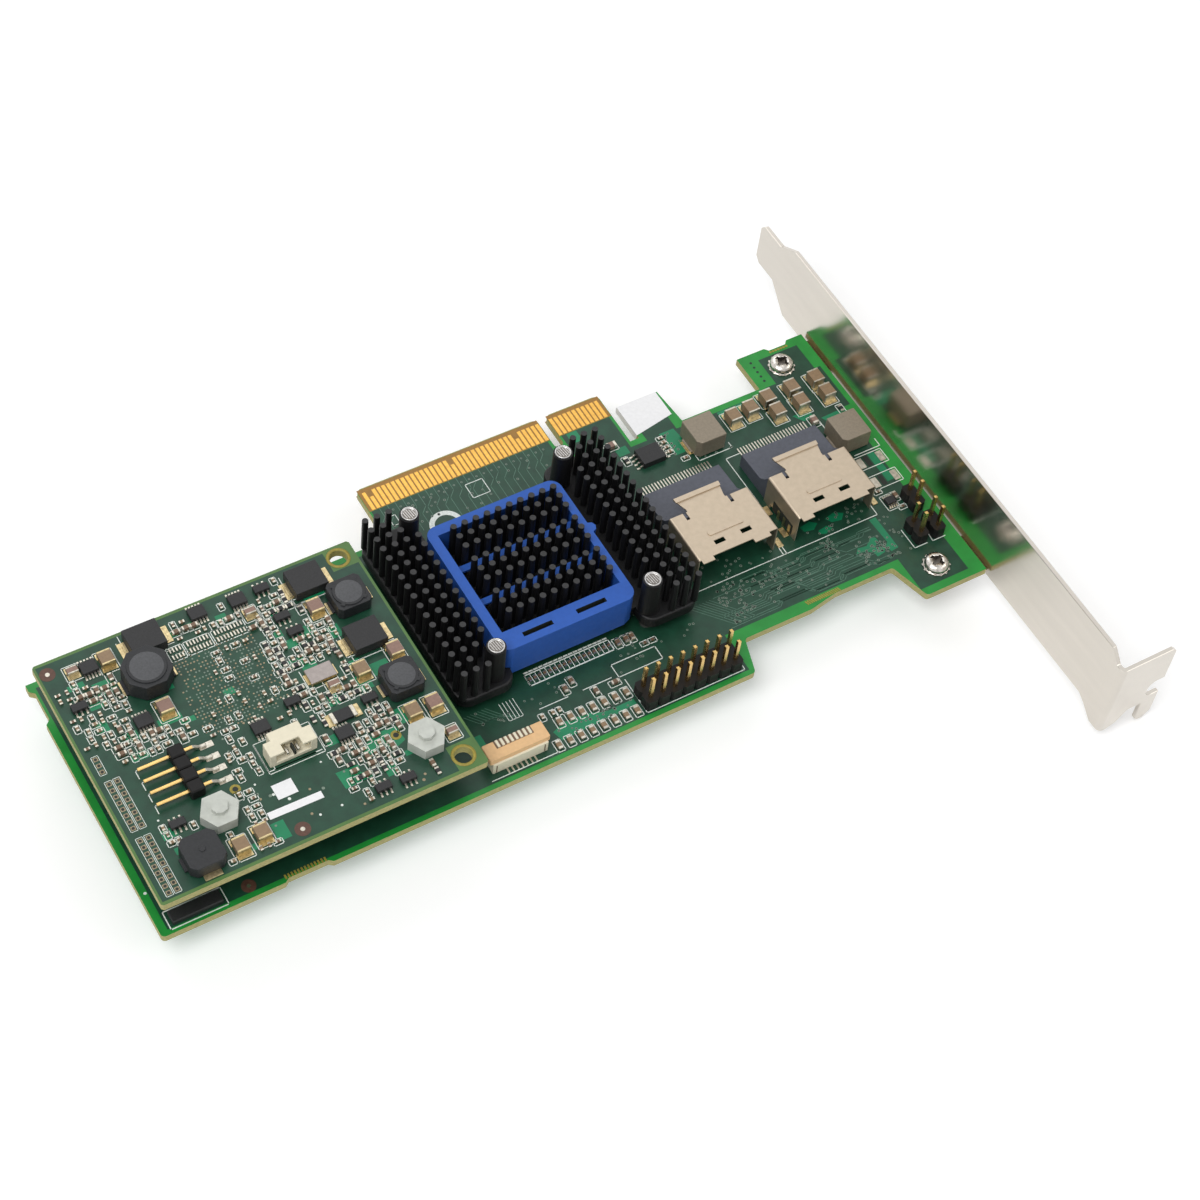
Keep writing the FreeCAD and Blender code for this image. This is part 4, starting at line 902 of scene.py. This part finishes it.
# broken-off rail tabs, drilled rows, rings and the plain paper label on the retention tab
for first, y, step, count, shape, turn in ((22.4, -60.25, 0.44, 17, (0.26, 0.95), 20),
                                           (-87.6, -67.9, 0.62, 13, (0.34, 0.9), 0)):
    for number in range(count):
        addPlate(main, "marks", first + number * step, y, *shape, 0.05, "olive", turn)
for number in range(7):
    addDot(main, "marks", 48.9 + number * 0.62, -5.9, 0.28, "olive", 8, "pad")
for number in range(5):
    addVia(main, 43.9, -6.6 - number * 1.25, 0.3, "maskDark")
addRing(main, -93.8, -66.6, 1.3, 0.38)
addDot(main, "marks", -109.6, -60, 0.28, "silk", 12, "pad")
addPatch(main, mainPrint["label"], "marks", "paper", 0.05, 0.02)
addPlate(main, "marks", 14.45, -8.4, 0.06, 7.7, 1.6, "paper", drop=1.55)
finishSheet(main, "main")
print("main board printed")


# Backup board print

backPrint = {
    "fields": (
        (-109.7, -55, -68.1, -17.1), (-55, -50.1, -63, -21.6)),
    "kept": (  # plans that stay clear of small parts
        (-103.6, -89, -53.4, -42), (-84.6, -80.6, -59.6, -56), (-87.6, -77.4, -62.6, -60.6),
        (-110.2, -104.9, -68.8, -37.6), (-110.2, -106.4, -21, -17.2), (-85.4, -81.6, -68.2, -64.4),
        (-55.2, -49.6, -22, -16.5), (-55.2, -49.6, -68.8, -63)),
    "bright": (
        (-105.4, -103.4, -34.2, -31.9), (-102.6, -98.8, -27.2, -24.4), (-88, -85.6, -66.6, -63),
        (-68.8, -66.4, -46.8, -44.6), (-63, -59.8, -46.4, -43.2), (-95.9, -91.6, -37.6, -36),
        (-58.8, -55.4, -44.6, -42), (-104.6, -102, -57.9, -56), (-83.4, -81.4, -36.8, -35.4),
        (-66.6, -63.6, -31.8, -29.6), (-102.8, -99.6, -41.9, -40.2), (-61.8, -59.6, -34.4, -31.6),
        (-60, -56.8, -55.4, -52.2), (-62.4, -58.4, -24.9, -22.8)),
    "brightShapes": (
        [(-73.8, -59), (-69.6, -59.2), (-69.9, -60.8), (-67.8, -61.4), (-68.4, -62.4),
         (-73.6, -62.6)],
        [(-67.6, -57), (-64.8, -55), (-60.4, -55.2), (-60.2, -58.4), (-62.8, -59.4),
         (-64, -57.9), (-67.2, -58.4)]),
    "shapePlans": ((-73.9, -67.7, -62.7, -58.9), (-67.7, -60.1, -59.5, -54.9)),
    "copper": (  # a plan and a count
        ((-105.5, -91, -40.8, -23.5), 8), ((-72, -59.5, -41.5, -19.5), 8),
        ((-71.5, -59, -65.5, -45), 6), ((-87, -75, -22.6, -18.4), 3),
        ((-103.5, -88, -66, -55), 3)),
    "mixes": {"fine": ["tiny", "tan"], "plain": ["tiny", "tan", "brown"],
              "dense": ["tiny", "tan", "tan", "brown"],
              "mixed": ["tiny", "tan", "black", "brown"]},
    "scattered": (  # plan, step, share placed, mix and share outlined
        ((-89.6, -73.4, -49.8, -26.4), 1.9, 0.42, "fine", 0.5),
        ((-106, -89.8, -41.9, -22.4), 1.5, 0.88, "dense", 0.7),
        ((-109.2, -104, -36.8, -22), 1.5, 0.8, "fine", 0.4),
        ((-89, -69, -23.4, -17.2), 1.55, 0.8, "plain", 0.75),
        ((-73.6, -58.6, -43.4, -17.4), 1.5, 0.88, "mixed", 0.75),
        ((-73, -57.4, -67.2, -43.6), 1.55, 0.68, "mixed", 0.8),
        ((-104.6, -86.6, -67.4, -53.6), 1.55, 0.66, "fine", 0.8),
        ((-90.6, -84, -53.6, -42.4), 1.6, 0.6, "fine", 0.9)),
    "arrays": ((-87.9, 4), (-84.6, 7), (-79.4, 9)), "arrayPitch": 0.62,
    "testPitch": 1.36,
    "testGroups": (
        (-108.1, 0, 2), (-108.1, 4, 11), (-108.1, 13, 21), (-106.6, 4, 11), (-106.6, 13, 17),
        (-106.6, 18, 21)),
    "pads": (  # pairs of pads: place, reach, size and height
        (-93.6, -27.6, 4.4, (1.2, 3), 0.3), (-55.6, -28.4, 3.6, (1.2, 2.6), 0.3),
        (-55.5, -48, 3.6, (1.2, 2.6), 0.3), (-90.9, -20.6, 3.9, (1.5, 3.6), 0.2),
        (-60.6, -21.8, 3.9, (1.5, 3.6), 0.2), (-56.8, -37, 3.9, (1.5, 3.6), 0.2),
        (-67, -40.1, 2.4, (1, 2.2), 0.15), (-67.4, -49.4, 2.5, (1.4, 2.5), 0.25)),
}
backTop = boxOf("backup_board")[1].z
back = newSheet(backTop, backPrint["fields"])
bigNodes = [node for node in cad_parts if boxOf(node)[0].z > backTop - 0.01]
taken = takenBoxes(bigNodes, 0.75) + list(backPrint["kept"])
for points in backPrint["brightShapes"]:
    addPatch(back, points)
patches = list(backPrint["bright"])
for (left, right, near, far), count in backPrint["copper"]:
    for number in range(count):  # bare copper under the mask between the small parts
        x, y = dice.uniform(left, right), dice.uniform(near, far)
        spot = (x - dice.uniform(0.5, 1.8), x + dice.uniform(0.5, 1.8),
                y - dice.uniform(0.4, 1.3), y + dice.uniform(0.4, 1.3))
        if all(apart(spot, other) for other in (*patches, *backPrint["shapePlans"])):
            patches.append(spot)
for plan in patches:
    addField(back, plan)
for column in range(26):  # grid of vias under the hidden chip
    for row in range(26):
        x, y = -89.4 + column * 0.62, -42.6 + row * 0.7
        if isFree(x, y, taken) and dice.random() < 0.72:
            addVia(back, x, y, 0.17, dice.choice(("viaGrey", "padTan")), False)
for region, step, share, mix, outline in backPrint["scattered"]:
    scatter(back, region, step, share, backPrint["mixes"][mix], outline, taken)
for left, count in backPrint["arrays"]:  # fine-pitch resistor arrays
    pitch = backPrint["arrayPitch"]
    for number in range(count):
        addPads(back, left + number * pitch, -24.95, 0.75, (0.3, 0.95), 0.3, "tin", False)
    addOutline(back, left + (count - 1) * pitch / 2, -24.95, count * pitch + 0.5, 3)
for number in range(22):  # rows of test holes, each hole a near-black dot painted as its shade
    for x, first in ((-108.1, 0), (-106.6, 4)):
        y = -38.4 - number * backPrint["testPitch"]
        if number >= first and number not in (3, 12):
            addPlate(back, "marks", x, y, 0.84, 0.84, layer["silk"], "padTan")
            addDot(back, "marks", x, y, 0.29, "holeShadeAndBlack", 8, "hole")
for x, first, last in backPrint["testGroups"]:
    addOutline(back, x, -38.4 - (first + last) * backPrint["testPitch"] / 2, 1.25,
               (last - first) * backPrint["testPitch"] + 1.3, 0.1)
for number in range(90):
    x, y = dice.uniform(-104, -56), dice.uniform(-67, -42)
    if isFree(x, y, taken):
        addVia(back, x, y, dice.uniform(0.18, 0.3), dice.choice(("silk", "viaGrey", "padTan")),
               False)
for left, right, near, far in takenBoxes(["power_diodes", "crystal", "battery_socket"], 0.55):
    addPath(back, [(left, far), (left, near), (right, near)])
for plan in topPlans("filter_capacitors") + topPlans("bypass_capacitors"):
    wide, deep = plan[1] - plan[0], plan[3] - plan[2]
    addPads(back, *middleOf(plan), deep / 2, (wide + 0.3, 1.3), 0.12, "giltTin", False)
    addOutline(back, *middleOf(plan), wide + 0.9, deep + 1.9)
for node, count, reach in (("driver_chips", 5, 0.95), ("small_transistors", 3, 0.85)):
    for plan in topPlans(node):
        addLegs(back, *middleOf(plan), plan[1] - plan[0], plan[3] - plan[2], count, reach)
for values in backPrint["pads"]:
    addPads(back, *values)
addPlate(back, "parts", -100.3, -67.2, 3.2, 1.5, 0.35, "giltTin", 0, 0.06)
for x, y in ((-108.3, -19.1), (-83.5, -66.2)):
    addRing(back, x, y, 1.4, 0.42)
for y in (-19.2, -65.7):  # plated rims of the two bare holes
    addSpun(back[1]["marks"], -52.9, y, [
        (1.62, backTop), (2.2, backTop), (2.2, backTop + 0.04), (1.62, backTop + 0.04),
        (1.62, backTop)], ink["olive"], 32)
# plated holes, each hole a near-black dot painted as its shade
for x, y in ((-61.2, -56.9), (-90, -54.2)):
    addDot(back, "marks", x, y, 0.95, "olive", 20)
    addDot(back, "marks", x, y, 0.5, "holeShadeAndBlack", 14, "hole")
addPlate(back, "marks", -82.7, -57.9, 3.7, 3, layer["label"], "paper")
addPlate(back, "marks", -82.5, -61.6, 9.9, 1.4, layer["label"], "paper", -1)
addOutline(back, -78.4, -51, 10.4, 6.6)
for number in range(4):
    y = -51.8 + number * 2.54
    addPath(back, [(-103.2, y - 0.9), (-103.2, y + 0.7), (-98, y + 0.7)])
    addPlate(back, "parts", -90.6, y, 2.6, 1.2, 0.12, "tin", 0, 0.04)
finishSheet(back, "backup")
print("backup board printed")


# Floor, light and camera

studio = {
    "floorSize": 3, "floorColour": 0.86, "world": (0.36, 1),
    "floorGlow": (0.24, 0.66, 0.3, 1.6),  # near and far glow, and where each is reached
    "lamps": (("key", (-0.5, -0.25, 0.9), 0.6, 6.2), ("fill", (0.7, -0.5, 0.7), 0.7, 1.8),
              ("back", (0.1, 0.8, 0.7), 0.8, 2.4)),  # name, place, size and power
    "lens": 81.01, "place": (-0.18602, -0.27246, 0.39831),
    "right": (0.85995, -0.50297, 0.08662), "up": (0.36669, 0.72694, 0.5806),
    "back": (-0.35499, -0.46753, 0.80956),
}


def combined(tree, operation, first, second):
    value = addStep(tree, "Math", {0: first, 1: second}, 0, operation)
    value.node.use_clamp = operation == "ADD"
    return value


def addSeen(tree):
    # 1 for the rays of the camera, of gloss and of glass, otherwise 0
    rays = tree.nodes.new("ShaderNodeLightPath").outputs
    mirrored = combined(tree, "ADD", rays["Is Camera Ray"], rays["Is Glossy Ray"])
    return combined(tree, "ADD", mirrored, rays["Is Transmission Ray"])


def makeFloor():
    mesh = bmesh.new()
    bmesh.ops.create_grid(mesh, x_segments=1, y_segments=1, size=studio["floorSize"],
                          matrix=Matrix.Translation((0, 0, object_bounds()[0].z - 0.2 * mm)))
    floor = meshObject("floor", mesh)
    finish = bpy.data.materials.new("floorWhite")
    finish.use_nodes = True
    tree = finish.node_tree
    shader = tree.nodes["Principled BSDF"]
    reach = addStep(tree, "VectorMath", {0: addStep(tree, "TexCoord", {}, "Object")}, "Value",
                    "LENGTH")  # the glow grows where the lamps thin out
    glow = combined(tree, "MULTIPLY", addSeen(tree), scaled(tree, reach, *studio["floorGlow"]))
    setInputs(shader, {"Base Color": (*[studio["floorColour"]] * 3, 1), "Roughness": 0.9,
                       "Specular IOR Level": 0.1, "Emission Color": (1, 1, 1, 1),
                       "Emission Strength": glow})
    fromBelow = combined(tree, "MULTIPLY", addStep(tree, "NewGeometry", {}, "Backfacing"),
                         addStep(tree, "LightPath", {}, "Is Camera Ray"))
    blend = addStep(tree, "MixShader", {  # the floor isn't seen from below
        "Fac": fromBelow, 1: shader.outputs["BSDF"],
        2: addStep(tree, "BsdfTransparent", {}, "BSDF")}, "Shader")
    setInputs(tree.nodes["Material Output"], {"Surface": blend})
    floor.data.materials.append(finish)


def makeLight():
    world = bpy.data.worlds.new("studio")
    bpy.context.scene.world = world
    world.use_nodes = True
    tree = world.node_tree
    setInputs(tree.nodes["Background"], {
        "Color": (1, 1, 1, 1), "Strength": scaled(tree, addSeen(tree), *studio["world"])})
    for name, place, size, power in studio["lamps"]:
        lamp = bpy.data.lights.new(name, "AREA")
        lamp.shape = "SQUARE"
        lamp.size = size
        lamp.energy = power
        holder = addObject(name, lamp)
        holder.location = place
        holder.rotation_euler = (-Vector(place)).to_track_quat("-Z", "Y").to_euler()


def makeCamera():
    camera = bpy.data.cameras.new("camera")
    camera.lens = studio["lens"]
    camera.sensor_width = 36
    camera.clip_start = 0.01
    holder = addObject("camera", camera)
    turn = Matrix([studio[axis] for axis in ("right", "up", "back")]).transposed().to_4x4()
    holder.matrix_world = Matrix.Translation(studio["place"]) @ turn
    bpy.context.scene.camera = holder


makeFloor()
makeLight()
makeCamera()
bpy.context.scene.view_settings.view_transform = "Standard"
print("stage made")
